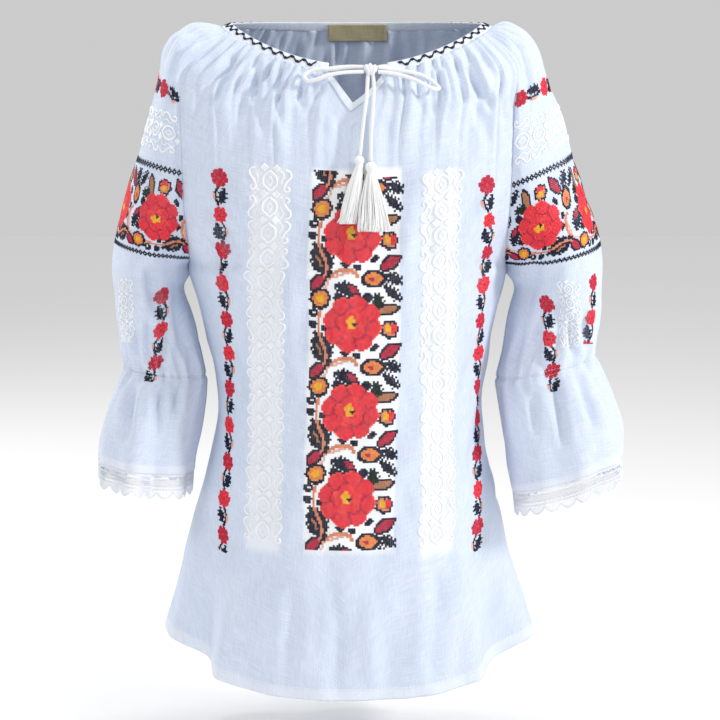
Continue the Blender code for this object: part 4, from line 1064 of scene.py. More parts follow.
def embroider(name, parts, seed):
    random = np.random.default_rng(seed)
    gathered = []
    for band, pattern, xs, ys, cell, turned, start in parts:
        x, y = (g.reshape(-1) for g in np.meshgrid(xs, ys))
        colours = pattern(x, y)
        kept = colours > 0
        x, y, colours = x[kept], y[kept], colours[kept]
        t, s = (xs[-1] - x, y * turned) if turned else (y - ys[0], x)
        spots, faces, sides, inside = place(band, np.round(t * cell + start, 4), s * cell, 0.1)
        gathered.append([g[inside] for g in (spots, faces, sides, colours, np.full(len(inside), cell))])
    spots, faces, sides, colours, sizes = (np.concatenate([g[n] for g in gathered]) for n in range(5))
    tint = np.array([tints[c] for c in colours]) * random.uniform(0.86, 1.12, (len(colours), 1))
    tint = np.concatenate([tint, np.ones((len(tint), 1))], axis=1)
    piece = runNodes(name, spots, [], {
        "face": ("FLOAT_VECTOR", faces), "side": ("FLOAT_VECTOR", sides), "tint": ("FLOAT_COLOR", tint),
        "size": ("FLOAT", sizes * random.uniform(0.96, 1.06, len(sizes))),
    }, stitchNodes, {"Stitch": stitchShape, "Material": cottonThread})
    print(name, len(spots), "stitches")
    return fit(piece, "cord")


def threads(name, routes, radius, sides, colour, material=cottonThread, nodes=()):
    points, edges = [], []
    for route in routes:
        edges += [(len(points) + k, len(points) + k + 1) for k in range(len(route) - 1)]
        points += list(route)
    tint = [(*colour, 1.0)] * len(points)
    piece = runNodes(name, points, edges, {"tint": ("FLOAT_COLOR", tint)}, threadNodes,
                     {"Radius": radius * mm, "Sides": sides, "Material": material})
    return fit(piece, "cord", *nodes)


# Drawstring: routes in millimetres, as its solids follow them; the camera and cords are made first
cordDiameter = 4.0
cordLook = {"plies": 3, "pitch": 8.5, "groove": 0.16, "sides": 18, "step": 0.75}
knotCentre = (18.5, -98.5, -48.5)
leadLeft = [(-22.6, -87.0, -48.0), (-12, -90.5, -46.4), (2, -92.4, -45.9), (12.9, -92.9, -47.0)]
leadRight = [(36.6, -86.9, -46.6), (32, -90.2, -45.6), (24.2, -93.2, -47.0)]
loopLeft = [
    (11.4, -98.4, -46.0), (-2, -97.4, -46.4), (-19, -95.6, -48.4), (-32, -93.4, -48.8),
    (-41.5, -93.0, -50.6), (-47, -97.5, -55.2), (-43, -103.0, -60.0), (-33, -105.0, -57.6),
    (-22, -105.0, -53.6), (-8, -104.0, -51.4), (4, -102.6, -50.8), (11.8, -101.4, -50.6),
]
loopRight = [
    (26.1, -98.4, -46.4), (38, -95.6, -48.4), (54, -92.4, -50.6), (66.5, -90.6, -53.4), (76, -90.4, -57.8),
    (83.6, -92.6, -63.6), (86.2, -97.6, -67.2), (81.6, -103.2, -67.6), (72, -105.4, -63.4),
    (62, -105.4, -58.4), (51, -104.8, -54.8), (38, -103.2, -52.0), (26.0, -101.0, -50.8),
]
tailLeft = [
    (16.0, -99.6, -54.7), (15.3, -102.6, -64), (14.4, -107.4, -77), (12.4, -112.2, -91),
    (10.4, -117.0, -108), (8.8, -121.8, -124), (8.0, -124.1, -131.8),
]
tailRight = [
    (20.9, -99.6, -54.6), (21.6, -103.2, -66), (21.2, -108.2, -80), (20.0, -113.0, -95),
    (18.9, -117.8, -113), (18.6, -122.0, -129), (18.6, -124.2, -137.8),
]


def evenRoute(route, step):
    table = np.array(route, float)
    dense = spline(table, np.linspace(0, len(table) - 1, 24 * (len(table) - 1) + 1))
    s = arcs(dense)
    return along(np.linspace(0, s[-1], max(3, int(round(s[-1] / step)) + 1)), s, dense)


def sideFrames(points):
    side = np.cross(unit(np.gradient(points, axis=0))[0], (0.3, 0.2, 1.0))
    firsts, seconds = [], []
    for tangent in unit(np.gradient(points, axis=0)):
        side = unit(side - tangent * side.dot(tangent))
        firsts.append(side)
        seconds.append(np.cross(tangent, side))
    return np.array(firsts)[:, None], np.array(seconds)[:, None]


def circle(sides):
    return 2 * math.pi * np.arange(sides) / sides


def ropeRings(route, radius, look):
    points = evenRoute(route, look["step"])
    first, second = sideFrames(points)
    s, a = arcs(points), circle(look["sides"])
    twist = 2 * math.pi * s / look["pitch"]
    lobes = np.abs(np.cos(look["plies"] * (a[None, :] - twist[:, None]) / 2))
    r = radius * (1 - look["groove"] + look["groove"] * lobes ** 0.8)
    rings = points[:, None] + first * (r * np.cos(a))[..., None] + second * (r * np.sin(a))[..., None]
    uv = np.stack([s[:, None] + 0 * a[None, :], (a[None, :] - twist[:, None]) * radius], axis=-1)
    return points, rings, uv


def tubeFaces(rings, sides, start):
    k = np.arange(sides)
    faces = []
    for i in range(rings - 1):
        a, b = start + i * sides, start + (i + 1) * sides
        faces += np.stack([a + k, a + (k + 1) % sides, b + (k + 1) % sides, b + k], axis=-1).tolist()
    faces.append((start + k)[::-1].tolist())
    faces.append((start + (rings - 1) * sides + k).tolist())
    return faces


def tubes(name, parts, material, uvs=None):
    points, faces, flat = [], [], []
    for n, rings in enumerate(parts):
        faces += tubeFaces(len(rings), rings.shape[1], len(points))
        points += rings.reshape(-1, 3).tolist()
        flat.append(uvs[n].reshape(-1, 2) if uvs else rings.reshape(-1, 3)[:, [0, 2]])
    piece = makeObject(name, points, faces, material)
    paintUv(piece, np.concatenate(flat))
    form = bmesh.new()
    form.from_mesh(piece.data)
    bmesh.ops.recalc_face_normals(form, faces=form.faces)
    form.to_mesh(piece.data)
    form.free()
    return piece


def metres(points):
    return [tuple(float(c) * mm for c in p) for p in points]


cordPieces = {}
for name, route, nodes, farEnd in (
    ("drawstringLeft", leadLeft + [knotCentre] + tailLeft, ("cord_lead_left", "cord_tail_left"),
     "fitting"),
    ("drawstringRight", leadRight + [knotCentre] + tailRight, ("cord_lead_right", "cord_tail_right"),
     "fitting"),
    ("bowLeft", loopLeft, ("cord_loop_left",), "object"),
    ("bowRight", loopRight, ("cord_loop_right",), "object"),
):
    points, rings, uv = ropeRings(route, cordDiameter / 2, cordLook)
    cordPieces[name] = (fit(tubes(name, [rings], cordCotton, [uv]), "cord", *nodes), points, farEnd)

# Knot: a soft core with the cord wound over it; turns have tilts, reaches and a place along it
knotLook = {"radii": (6.9, 5.0, 4.6), "sides": 24, "rings": 15, "end": 84, "cord": 1.7}
knotTurns = [(12, 8, 4.6, 4.4, -3.2), (-14, -6, 4.6, 4.2, 3.4), (8, 2, 4.9, 4.7, 0.2)]


def makeKnot():
    count = knotLook["rings"]
    angle = np.radians(mix(-knotLook["end"], knotLook["end"], np.arange(count) / (count - 1)))
    a = circle(knotLook["sides"])
    rx, ry, rz = knotLook["radii"]
    core = np.stack([np.cos(angle)[:, None] * np.cos(a) * rx, np.cos(angle)[:, None] * np.sin(a) * ry,
                     np.sin(angle)[:, None] * rz + 0 * a], axis=-1)
    parts = [core + knotCentre]
    for tiltX, tiltZ, reach, drop, shift in knotTurns:
        t = np.linspace(0, 2 * math.pi, count)
        x, y, z = 0 * t + shift, np.cos(t) * reach, np.sin(t) * drop
        cosX, sinX = math.cos(math.radians(tiltX)), math.sin(math.radians(tiltX))
        cosZ, sinZ = math.cos(math.radians(tiltZ)), math.sin(math.radians(tiltZ))
        x, z = x * cosX - z * sinX, x * sinX + z * cosX
        ring = np.stack([x * cosZ - y * sinZ, x * sinZ + y * cosZ, z], axis=-1)
        parts.append(ropeRings((ring + knotCentre).tolist(), knotLook["cord"], cordLook)[1])
    fit(tubes("bowKnot", parts, cordCotton), "cord", "bow_knot")


makeKnot()

# Tassels: cut threads tied over a round head
tassels = {
    "Left": {"head": (7.4, -126.6, -136.6), "radius": 5.0, "tips": (-3.9, -134.6, -197.5), "width": 8.8,
             "depth": 5.0, "curl": 1.6, "seed": 11},
    "Right": {"head": (18.7, -127.1, -143.4), "radius": 5.8, "tips": (21.6, -141.8, -204.5), "width": 16.6,
              "depth": 4.6, "curl": 0.5, "seed": 12},
}
tasselLook = {"strands": 300, "thread": 0.38, "wraps": 4, "sides": 4}
# Core of a tassel: radius and height as shares of the head
tasselCore = [(0.30, 0.88), (0.62, 0.68), (0.84, 0.3), (0.86, 0.0), (0.82, -0.35), (0.66, -0.75), (0.6, -1.3),
              (0.5, -2.2), (0.2, -3.0)]


def tasselStrand(n, tassel, random):
    head, r, tips = np.array(tassel["head"]), tassel["radius"], np.array(tassel["tips"])
    turn, share = random.uniform(0, 2 * math.pi), math.sqrt(random.uniform(0.05, 1))
    c, d = math.cos(turn), math.sin(turn)
    goal = tips + np.array([c * tassel["width"] * share, d * tassel["depth"] * share,
                            random.uniform(-1.5, 2.5)])
    throat = head + np.array([c * r * 0.62 * share, d * r * 0.62 * share, -r * 1.05])
    route = []
    if n % 3 == 0:
        # Every third thread goes over the head
        for b in np.radians((74, 45, 15, -15, -42)):
            reach = r * 0.90 * math.cos(b)
            route.append(head + np.array([c * reach, d * reach, r * 0.92 * math.sin(b)]))
        throat = head + np.array([c * r * 0.68, d * r * 0.68, -r * 1.05])
    sway = random.normal(0, 0.5, 2)
    for t in np.linspace(0, 1, 9):
        spot = mix(throat, goal, t) + np.array([c, d * 0.5, 0]) * math.sin(math.pi * t) * 1.3 * share
        spot[:2] += sway * math.sin(math.pi * t)
        spot[0] += tassel["curl"] * random.normal(0, 1) * max(0.0, t - 0.86) * 4
        route.append(spot)
    return route


def makeTassel(name, tassel):
    random = np.random.default_rng(tassel["seed"])
    head, r = np.array(tassel["head"]), tassel["radius"]
    routes = [tasselStrand(n, tassel, random) for n in range(tasselLook["strands"])]
    for w in range(tasselLook["wraps"]):
        routes.append([head + np.array([math.cos(b) * r * 0.74, math.sin(b) * r * 0.74,
                                        -r * (0.98 + 0.14 * w) - 0.02 * b])
                       for b in np.linspace(0, 2 * math.pi, 19)])
    a = circle(24)
    core = [head + np.array([0, 0, r * z]) + np.stack([np.cos(a) * q * r, np.sin(a) * q * r, 0 * a], axis=-1)
            for q, z in tasselCore]
    strands = threads("tasselStrands" + name, routes, tasselLook["thread"], tasselLook["sides"],
                      (1.0, 1.0, 1.0), satinThread, ["tassel_" + name.lower()])
    return [strands, fit(tubes("tasselCore" + name, [np.array(core)], satinWhite), "cord")]


tasselPieces = {name: makeTassel(name, tassel) for name, tassel in tassels.items()}
for name, (piece, points, farEnd) in cordPieces.items():
    carried = tasselPieces["Left" if "Left" in name else "Right"] if farEnd == "fitting" else []
    length = float(arcs(points)[-1])
    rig.cord(piece, exit=metres(points)[0], length=length * mm, diameter=cordDiameter * mm, far_end=farEnd,
            stiffness="limp", lay="hanging", path=metres(points), with_pieces=carried)
    print(name, "length", round(length, 1))
print("cords made")

# Body and sleeves: half of the wall at an edge and within, and what a hem adds
wall = {"edge": 0.42, "within": 0.6, "hem": 0.3}
turnUp = {"front": 13.0, "back": 13.0, "left": 9.0, "right": 9.0}
grids, middles, halves = {}, {}, {}


def fromFoot(middle):
    down = arcs(middle.transpose(1, 0, 2)).T
    return down[-1] - down


def hemShare(name):
    return ease((turnUp[name] - fromFoot(middles[name])) / 1.2)


def keepForm(name, base, normals, height, full, u, v):
    middles[name] = base + normals * height[..., None]
    halves[name] = mix(wall["edge"], wall["within"], full) + wall["hem"] * hemShare(name)
    grids[name] = (middles[name] + normals * halves[name][..., None], normals, u, v)


def panelForm(name, folds, creases, rows, columns):
    base, u, v = panelBase(name == "front", rows, columns)
    inset = 1 - np.abs(u)
    height = panelRelief(base, u, v, folds, name == "front")
    height = height + creaseRelief(base, creases) * ease(inset / 0.06)
    keepForm(name, base, unitNormals(base, 0.0), height, ease(inset / 0.02), u, v)


def sleeveForm(name, side, cap, rings, folds, creases, phase, rows=145, columns=113):
    base, q, v = sleeveBase(side, cap, rings, rows, columns)
    normals = unitNormals(base, 0.2, int(math.ceil(underarmRow / lastSleeveRow * (rows - 1))))
    inset = np.minimum(q, 1 - q)
    free = np.where(v > underarmRow, 1, ease(inset / 0.06))
    height = sleeveRelief(q, v, folds, phase) + creaseRelief(base, creases) * free
    height += crumple(base) * free * np.clip(v - 0.5, 0, 1)
    keepForm(name, base, normals, height, np.where(v < underarmRow, ease(inset / 0.02), 1.0), q, v)


panelForm("front", frontFolds, frontCreases, 176, 169)
panelForm("back", backFolds, backCreases, 127, 129)
sleeveForm("left", -1, leftCap, leftRings, leftSleeveFolds, leftCreases, 0.6)
sleeveForm("right", 1, rightCap, rightRings, rightSleeveFolds, rightCreases, 2.2)
print("forms made")

# Where the patterns lie: places across and heights for what runs down,
# then rows at the seams and the outside, height and a place on it for what runs round a sleeve
downLines = {
    "panel": [(4.1, -145.4), (0.6, -210.6), (0.6, -295.2), (-1.5, -386.7), (-5.0, -477.1), (-5.1, -531.4)],
    "chainLeft": [(-132.0, -146.5), (-131.4, -189.6), (-130.7, -230.6), (-129.0, -269.7), (-126.8, -306.0),
                  (-125.5, -338.4), (-125.9, -392.3), (-126.1, -419.9), (-128.4, -459.8), (-132.8, -497.9),
                  (-132.5, -533.0)],
    "chainRight": [(134.3, -154.5), (137.5, -197.6), (136.3, -236.6), (132.1, -275.8), (130.3, -311.1),
                   (128.7, -379.0), (129.4, -471.1), (130.6, -502.0), (127.7, -538.0)],
    "scrollLeft": [(-80.5, -145.5), (-81.5, -180.0), (-83.0, -215.0), (-85.0, -250.0), (-86.5, -300.0),
                   (-87.5, -360.0), (-88.8, -440.0), (-90.9, -533.0)],
    "scrollRight": [(89.5, -147.5), (89.4, -180.0), (89.0, -215.0), (88.6, -250.0), (88.0, -300.0),
                    (87.4, -360.0), (86.6, -440.0), (85.7, -536.0)],
}
ringLines = {
    "blockLeft": ((5.68, 6.02), (9.42, 8.42), 96.0, -196.6, -197.0),
    "blockRight": ((6.1, 6.25), (9.9, 8.75), 98.0, 190.6, -207.1),
    "shoulderLeft": ((2.8, 3.9), (3.52, 4.6), 23.3, -189.0, -62.5),
    "shoulderRight": ((2.85, 4.05), (3.6, 4.75), 23.3, 169.3, -77.6),
    "scrollRingLeft": ((3.75, 4.85), (5.35, 5.85), 38.0, -184.0, -122.0),
    "scrollRingRight": ((3.9, 5.05), (5.75, 6.05), 38.0, 170.0, -122.0),
}
sides = (("Left", -1), ("Right", 1))
bands = {name: downBand(grids["front"], anchors) for name, anchors in downLines.items()}
for name, values in ringLines.items():
    bands[name] = ringBand(grids["left" if "Left" in name else "right"], *values)

# Whiter cloth: band, half width, middle, soft edge, share
groundMask = np.zeros(grids["front"][0].shape[:2])
for name, halfWidth, centre, soft, share in (
    ("panel", 47.0, 1.5, 2.0, 1.0), ("scrollLeft", 22.5, 0.0, 7.0, 0.62),
    ("scrollRight", 22.5, 0.0, 7.0, 0.62),
):
    across, down = bands[name]["across"], bands[name]["down"][:, None]
    ends = ease((down + 1) / 2) * ease((bands[name]["length"] + 1 - down) / 2)
    groundMask = np.maximum(groundMask, share * ease((halfWidth - np.abs(across - centre)) / soft) * ends)

# The cloth pieces; a sheet's flat size is its cut before it is gathered
clothNodes = {"front": "front_panel", "back": "back_panel", "left": "sleeve_left", "right": "sleeve_right"}
for name, node in clothNodes.items():
    mask = 0.35 * hemShare(name)
    if name == "front":
        mask = np.maximum(groundMask, mask)
    piece = shell(name + "Cloth", middles[name], grids[name][1], halves[name], linen, clothUv(middles[name]),
                  {"ground": mask})
    fit(piece, "cloth", node)
    if name in ("front", "back"):
        width = float(arcs(middles[name][-1])[-1]) * mm
        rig.sheet(piece, flat=(round(width, 3), 0.66), held="gathered", rests_on=["neck_binding"])
    else:
        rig.sheet(piece, flat=(0.42, 0.47), area=0.15, held="gathered", rests_on=["neck_binding"])
print("cloth made")

# Cross stitch: sizes of a stitch, and for a sleeve's block its height and borders in stitches
stitch = {"panel": 1.9, "chain": 1.5, "shoulder": 1.55, "lower": 1.42}
block = {"cells": 64, "border": 1.24, "top": 3, "bottom": 60, "above": 7}
lowChains = {
    "Left": [[(-191.1, -271.0), (-194.5, -313.9), (-201.0, -348.8), (-212.5, -372.5)]],
    "Right": [[(196.5, -278.0), (199.4, -322.1), (205.9, -355.5), (206.2, -382.9)],
              [(246.5, -256.0), (244.9, -299.5), (240.2, -336.0)]],
}


def chainPart(band, cell, spare):
    ys = np.arange(-6, int(band["length"] / cell) - 6 - spare)
    return (band, chainPattern, np.arange(-7, 8), ys, cell, 0, 0.0)


def blockParts(band, way):
    small = band["length"] / block["cells"]
    parts = [(band, largePattern, np.arange(-23, 27), np.arange(-150, 151), small, way,
              block["above"] * small)]
    for height in (block["top"], block["bottom"]):
        start = height * small - 2 * block["border"]
        parts.append((band, borderPattern, np.arange(-2, 3), np.arange(-180, 181), block["border"], way,
                      start))
    return parts


panelRows = np.arange(-34, int(bands["panel"]["length"] / stitch["panel"]) - 34)
panelPart = (bands["panel"], panelPattern, np.arange(-23, 27), panelRows, stitch["panel"], 0, 0.0)
embroider("panelFlowers", [panelPart], 3)
embroider("chainFlowers", [chainPart(bands["chain" + name], stitch["chain"], -6) for name, way in sides], 5)
for name, way in sides:
    embroider("sleeveFlowers" + name, blockParts(bands["block" + name], way), 7)
for name, way in sides:
    band = bands["shoulder" + name]
    embroider("shoulderFlowers" + name,
              [(band, chainPattern, np.arange(-7, 8), np.arange(-130, 131), stitch["shoulder"], way, 0.0)], 9)
for name, lines in lowChains.items():
    chains = [downBand(grids[name.lower()], anchors) for anchors in lines]
    embroider("lowerFlowers" + name, [chainPart(band, stitch["lower"], 4) for band in chains], 13)
print("cross stitch made")

# White satin scrollwork: radii of its threads, and routes in one repeat, across and down
scroll = {"period": 25.7, "satin": 1.15, "fine": 0.7, "sides": 5, "jump": 9}
scrollSide = [(16.0, 1.4), (19.5, 2.2), (21.6, 5.0), (20.8, 8.8), (17.4, 12.4), (15.0, 16.4), (14.8, 20.0),
              (16.8, 22.6), (19.5, 21.6), (19.9, 19.0), (18.0, 18.0)]
scrollInner = [(11.0, 2.4), (13.6, 4.6), (13.9, 8.0), (11.4, 12.9), (13.9, 17.8), (13.6, 21.2), (11.0, 23.4)]
scrollOgee = [(0.0, 3.2), (3.0, 5.4), (6.6, 9.0), (7.2, 12.85), (6.6, 16.7), (3.0, 20.3), (0.0, 22.5)]
scrollHeart = [(0.0, 8.2), (2.7, 12.85), (0.0, 17.5)]
lowScrolls = {"Left": [(-231.5, -262.0), (-232.4, -333.4)], "Right": [(220.1, -264.0), (220.9, -333.4)]}


def scrollLine(route, sign, base, scale, upsideDown):
    lines = [(sign * x * scale, (base + (scroll["period"] - y if upsideDown else y)) * scale, 0.0)
             for x, y in route]
    return (np.array(lines) if route is scrollHeart else evenRoute(lines, 1.5))[:, :2]


def scrollRoutes(units, scale):
    bold, fine = [], []
    for n in range(units):
        base = n * scroll["period"]
        for sign in (-1, 1):
            for route in (scrollSide, scrollInner, scrollOgee, scrollHeart):
                target = fine if route in (scrollInner, scrollHeart) else bold
                target.append(scrollLine(route, sign, base, scale, n % 2 and route is scrollSide))
            # A diamond of satin stitches laid side by side
            for k in np.linspace(-3.4, 3.4, 9):
                x, reach = sign * 6.3 + k, 3.7 * (1 - abs(k) / 4.0)
                bold.append(np.array([(x * scale, y * scale) for y in (base - reach, base, base + reach)]))
    return bold, fine


def addScrolls(name, band, units, scale, aroundArm=False, start=0.0):
    bold, fine = scrollRoutes(units, scale)
    for kind, routes, radius in (("Bold", bold, scroll["satin"]), ("Fine", fine, scroll["fine"])):
        kept = []
        for route in routes:
            x, y = route[:, 0], route[:, 1] + start
            t, s = (band["length"] / 2 - x, y) if aroundArm else (y, x)
            spots, _, _, inside = place(band, np.round(t, 2), s, 0.15)
            if inside.all() and np.linalg.norm(np.diff(spots, axis=0), axis=-1).max() < scroll["jump"]:
                kept.append(spots.tolist())
        threads(name + kind, kept, radius * max(scale, 0.7), scroll["sides"], tints[white], satinThread)


for name, way in sides:
    addScrolls("scrolls" + name, bands["scroll" + name], 15, 1.0)
    addScrolls("sleeveScrolls" + name, bands["scrollRing" + name], 20, 0.8, True, -195.0)
for name, anchors in lowScrolls.items():
    addScrolls("lowerScrolls" + name, downBand(grids[name.lower()], anchors), 5, 0.56)
print("scrollwork made")

# Running stitches along the turned hems, and shirring at the cuffs
hemStitch = {"length": 2.4, "gap": 1.0, "radius": 0.2, "inside": 1.4, "insideFrill": 1.2}
shirring = {"radius": 0.28, "lift": 0.3}


def alongLine(line, away, lift=0.12):
    s = arcs(line)
    routes, start = [], 0.5
    while start + hemStitch["length"] < s[-1]:
        goals = start + np.array([0.0, 0.5, 1.0]) * hemStitch["length"]
        spots = along(goals, s, line) + along(goals, s, away) * np.array([[-0.1], [lift], [-0.1]])
        routes.append(spots.tolist())
        start += hemStitch["length"] + hemStitch["gap"]
    return routes


def lineAbove(name, distance):
    points, normals = grids[name][0], grids[name][1]
    far = fromFoot(points)
    columns = range(points.shape[1])
    return (np.array([along(-distance, -far[:, c], points[:, c]) for c in columns]),
            np.array([along(-distance, -far[:, c], normals[:, c]) for c in columns]))


hemRoutes, cuffRoutes = [], []
for name, width in turnUp.items():
    inside = hemStitch["inside"] if name in ("front", "back") else hemStitch["insideFrill"]
    hemRoutes += alongLine(*lineAbove(name, width - inside))
for name in ("left", "right"):
    points, normals = grids[name][0], grids[name][1]
    for shift in (-1, 1):
        row = int(round(cuffRow / lastSleeveRow * (len(points) - 1))) + shift
        cuffRoutes += alongLine(points[row], normals[row], shirring["lift"])
threads("hemStitches", hemRoutes, hemStitch["radius"], 4, (0.84, 0.87, 0.92))
threads("cuffShirring", cuffRoutes, shirring["radius"], 4, (0.86, 0.88, 0.93))
print("hems made")

# Lace below each frill: lines round it, then bars between two lines with their step and phases
laceLook = {"pitch": 17.0, "thread": 0.42, "notch": 18.4, "belly": 6.6, "gap": 0.5, "step": 1.2, "rays": 1.5,
            "colour": (0.87, 0.90, 0.97),
            "lines": (0.3, 0.9, 1.5, 5.0, 5.6, 11.4, 12.0, 14.9, 15.5), "edgeLines": (0.2, 0.8, 1.4)}
laceBars = [(1.5, 5.0, 1.8, (0,)), (5.6, 8.5, 1.6, (0, 1)), (8.5, 11.4, 1.6, (0, 1)), (12.0, 14.9, 1.8, (0,))]


def makeLace(name):
    points, normals = grids[name][0], grids[name][1]
    hem = middles[name][-1]
    down = hem - middles[name][int(round(17 / lastSleeveRow * (len(points) - 1)))]
    down = unit(down - normals[-1] * np.sum(down * normals[-1], axis=-1, keepdims=True))
    down = unit(down + np.array([0, 0, -1.0]))
    hemArc = arcs(hem)
    whole = float(hemArc[-1])
    scallops = int(round(whole / laceLook["pitch"]))

    def lacePoints(s, t):
        s = np.mod(s, whole)
        return (along(s, hemArc, hem) + along(s, hemArc, down) * (laceLook["gap"] + t)[:, None]).tolist()

    def laceEdge(s):
        return laceLook["notch"] + laceLook["belly"] * np.abs(np.sin(np.pi * s / (whole / scallops))) ** 0.8

    ring = np.linspace(0, whole, int(whole / laceLook["step"]) + 1)
    routes = [lacePoints(ring, t + 0 * ring) for t in laceLook["lines"]]
    routes += [lacePoints(ring, laceEdge(ring) - t) for t in laceLook["edgeLines"]]
    for top, bottom, step, phases in laceBars:
        turns = int(whole / step / 2) * 2
        for phase in phases:
            level = np.where((np.arange(turns + 1) + phase) % 2 == 0, top, bottom)
            routes.append(lacePoints(np.linspace(0, whole, turns + 1), level))
    for s in np.arange(0, whole, laceLook["rays"]):
        t = np.linspace(laceLook["lines"][-1], laceEdge(s) - laceLook["edgeLines"][-1], 3)
        routes.append(lacePoints(s + 0 * t, t))
    threads("lace" + name.capitalize(), routes, laceLook["thread"], 4, laceLook["colour"],
            nodes=["lace_" + name])
    print("lace", name, scallops, "scallops")


makeLace("left")
makeLace("right")

# Neck casing: a folded strip with small puckers, from the left of the slit round the back to its right
casing = {"startX": 36.0, "endX": -23.5, "height": 9.5, "drop": 1.5, "wall": 2.6, "steps": 320, "sides": 20,
          "pucker": 0.35, "frontLean": 28.0, "sideLean": 66.0}


def casingAxes(turn):
    a = np.radians(turn)
    depth = np.where(np.cos(a) > 0, neck["frontY"], neck["backY"])
    out = unit(np.stack([np.sin(a) / neck["halfWidth"], -np.cos(a) / depth, 0 * a], axis=-1))
    lean = np.radians(mix(casing["frontLean"], casing["sideLean"], np.sin(a) ** 2))[:, None]
    face = out * np.cos(lean) + np.array([0, 0, 1.0]) * np.sin(lean)
    up = -out * np.sin(lean) + np.array([0, 0, 1.0]) * np.cos(lean)
    return face, up


def casingPoint(turn, height, lift):
    face, up = casingAxes(turn)
    foot = neckPoint(turn) + up * mix(0.5, 1.4, np.sin(np.radians(turn)) ** 2)[:, None]
    return foot + up * np.asarray(height)[..., None] + face * np.asarray(lift)[..., None]


def casingTurns(steps):
    start, end = (math.degrees(math.asin((casing[key] - neck["midX"]) / neck["halfWidth"]))
                  for key in ("startX", "endX"))
    return np.linspace(start, 360.0 + end, steps)


def makeCasing():
    turns = casingTurns(casing["steps"])
    s = arcs(neckPoint(turns))
    ripple = (np.sin(s * 1.25 + 1.7 * np.sin(s * 0.21)) + 0.5 * np.sin(s * 2.3 + 0.6)) * casing["pucker"]
    lines = []
    for b in np.linspace(0, 2 * math.pi, casing["sides"], endpoint=False):
        c, d = math.cos(b), math.sin(b)
        across = math.copysign(abs(c) ** 0.55, c) * casing["wall"] / 2
        share = (math.copysign(abs(d) ** 0.75, d) + 1) / 2
        height = share * (casing["height"] + casing["drop"]) - casing["drop"]
        bulge = ripple * (1.25 - height / casing["height"]) - 0.25
        lift = across + np.sign(across) * bulge * (abs(across) > 0.4)
        lines.append(casingPoint(turns, height + 0 * turns, lift))
    around = np.linspace(0, 24.0, len(lines))
    uv = np.stack([s[:, None] + 0 * around, around[None, :] + 0 * s[:, None]], axis=-1)
    fit(tubes("neckCasing", [np.stack(lines, axis=1)], trimLinen, [uv]), "trim", "neck_binding")


makeCasing()

# Navy zigzag below the casing's edge, with a small leaf at each turn; it stops at the bow
zigzag = {"pitch": 13.0, "top": 8.0, "bottom": 1.5, "lift": 1.55, "gapFrom": -34.0, "gapTo": 50.0,
          "spread": 0.45, "line": 0.46, "leaf": 0.42}
# Threads of a leaf: lean and reach
zigzagLeaf = [(-1.5, 2.2), (-0.7, 2.7), (0.0, 2.9), (0.7, 2.7), (1.5, 2.2), (-2.4, 1.0), (2.4, 1.0)]


def makeZigzag():
    fineTurns = casingTurns(2600)
    fineArc = arcs(casingPoint(fineTurns, 5.0 + 0 * fineTurns, 0 * fineTurns))
    count = int(fineArc[-1] / zigzag["pitch"] * 2)
    corners = np.linspace(6.0, fineArc[-1] - 6.0, count)
    lift, t = zigzag["lift"], np.linspace(0, 1, 6)

    def onCasing(distance, height, lift):
        return casingPoint(np.interp(distance, fineArc, fineTurns), height, lift)

    lines, leaves = [], []
    for n in range(count - 1):
        start, goal = (zigzag["top"], zigzag["bottom"]) if n % 2 else (zigzag["bottom"], zigzag["top"])
        distance, height = mix(corners[n], corners[n + 1], t), mix(start, goal, t)
        route = onCasing(distance, height, lift + 0 * t)
        if zigzag["gapFrom"] < route[:, 0].mean() < zigzag["gapTo"] and route[:, 1].mean() < 0:
            continue
        for shift in (-zigzag["spread"], zigzag["spread"]):
            lines.append(onCasing(distance + shift, height, lift + 0 * t).tolist())
        up = 1 if start == zigzag["top"] else -1
        for lean, reach in zigzagLeaf:
            places = corners[n] + lean * np.array([0.5, 1.0])
            heights = start - up * np.array([0.3, reach])
            leaves.append(onCasing(places, heights, np.array([lift + 0.1, lift])).tolist())
    threads("neckZigzag", lines, zigzag["line"], 5, tints[navy])
    threads("neckZigzagLeaves", leaves, zigzag["leaf"], 5, tints[navy])


makeZigzag()

# Bias band round the slit, over the front's own surface
slitBand = {"length": 9.4, "gap": 0.35, "thick": 1.1, "rows": 9, "finer": 4}


def makeSlitBand():
    points, normals, u, _ = grids["front"]
    inSlit = np.nonzero(slitShare(u[0]) > 0)[0]
    rows, finer = slitBand["rows"], slitBand["finer"]
    goals = np.linspace(0.0, slitBand["length"], rows)
    outer, direction = [], []
    for j in range(inSlit[0] * finer, inSlit[-1] * finer + 1):
        c, f = divmod(j, finer)
        column = mix(points[:, c], points[:, c + 1], f / finer)
        s = arcs(column)
        outer.append(along(goals, s, column))
        direction.append(along(goals, s, mix(normals[:, c], normals[:, c + 1], f / finer)))
    outer, direction = np.stack(outer, axis=1), unit(np.stack(direction, axis=1))
    roundEdge = np.sin(np.pi * np.linspace(0.06, 0.94, rows)) ** 0.4
    half = slitBand["thick"] / 2 * (0.45 + 0.55 * roundEdge)[:, None] + np.zeros(outer.shape[:2])
    middle = outer + direction * (slitBand["gap"] + half)[..., None]
    fit(shell("slitBand", middle, direction, half, trimLinen, clothUv(outer), {}), "trim", "slit_binding")


makeSlitBand()

# Blank label inside the back of the neck, sewn at its ends
label = {"width": 62.0, "top": 8.5, "topDepth": 2.3, "foot": -10.0, "footDepth": 4.6, "thick": 0.8,
         "rows": 19, "columns": 61, "sway": 0.35, "thread": 0.16}


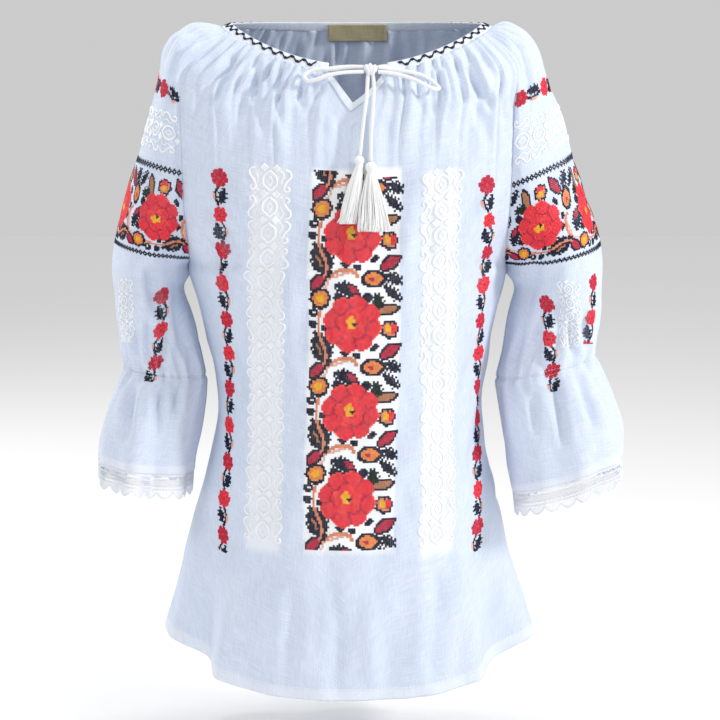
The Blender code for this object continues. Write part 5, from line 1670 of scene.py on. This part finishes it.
def makeLabel():
    reach = math.degrees(math.asin(label["width"] / 2 / neck["halfWidth"]))
    turns = 180.0 + np.linspace(-reach, reach, label["columns"])
    face, up = casingAxes(turns)
    lines = []
    for t in np.linspace(0, 1, label["rows"]):
        depth = mix(label["topDepth"], label["footDepth"], t)
        depth = depth + label["sway"] * np.sin(turns * 0.5) * math.sin(math.pi * t)
        lines.append(neckPoint(turns) + up * mix(label["top"], label["foot"], t) - face * depth[:, None])
    lines = np.array(lines)
    inward = -np.repeat(face[None], len(lines), axis=0)
    half = np.full(lines.shape[:2], label["thick"] / 2)
    fit(shell("blankLabel", lines, inward, half, labelSatin, clothUv(lines), {}), "label", "label")
    top = lines + inward * 0.55
    stitches = [[top[r, edge].tolist(), top[r + 1, edge].tolist()]
                for edge in (2, label["columns"] - 3) for r in range(1, label["rows"] - 2, 2)]
    threads("labelStitches", stitches, label["thread"], 4, (0.55, 0.5, 0.36))


makeLabel()
print("neck made")

# Plain stage and soft studio light: place, size and power of each lamp
stageMaterial, _, stageShader = newMaterial("stage", 1.0, 0.0)
stageShader.inputs["Base Color"].default_value = (1.0, 1.0, 1.0, 1)
floorLook = {"half": 6000, "height": -760}
corners = [(x * floorLook["half"], y * floorLook["half"], floorLook["height"])
           for x, y in ((-1, -1), (1, -1), (1, 1), (-1, 1))]
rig.stage(makeObject("floor", corners, [(0, 1, 2, 3)], stageMaterial, False))
world = bpy.data.worlds.new("studio")
bpy.context.scene.world = world
world.use_nodes = True
world.node_tree.nodes["Background"].inputs["Color"].default_value = (1.0, 1.0, 1.0, 1)
world.node_tree.nodes["Background"].inputs["Strength"].default_value = 0.60
lamps = {
    "keyLight": ((2.2, -0.9, 0.8), 0.4, 34.0), "fillLight": ((-1.8, -1.6, 0.9), 1.0, 7.0),
    "topLight": ((-0.2, 0.1, 1.7), 0.6, 9.0), "neckLight": ((0.1, -0.9, 1.4), 0.6, 3.0),
    "backLight": ((-1.7, 1.3, 1.0), 0.5, 18.0),
}
for name, (spot, size, power) in lamps.items():
    data = bpy.data.lights.new(name, "AREA")
    data.shape = "DISK"
    data.size = size
    data.energy = power
    lamp = bpy.data.objects.new(name, data)
    bpy.context.scene.collection.objects.link(lamp)
    lamp.location = spot
    lamp.rotation_euler = (Vector((0, 0, -0.35)) - Vector(spot)).to_track_quat("-Z", "Y").to_euler()
bpy.context.scene.view_settings.view_transform = "Standard"
print("stage and light made")

json.dump({"cad": [list(map(float, p)) for p in cadBounds], "visual": [list(map(float, p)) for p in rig.bounds()]},
          open("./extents.json", "w"))
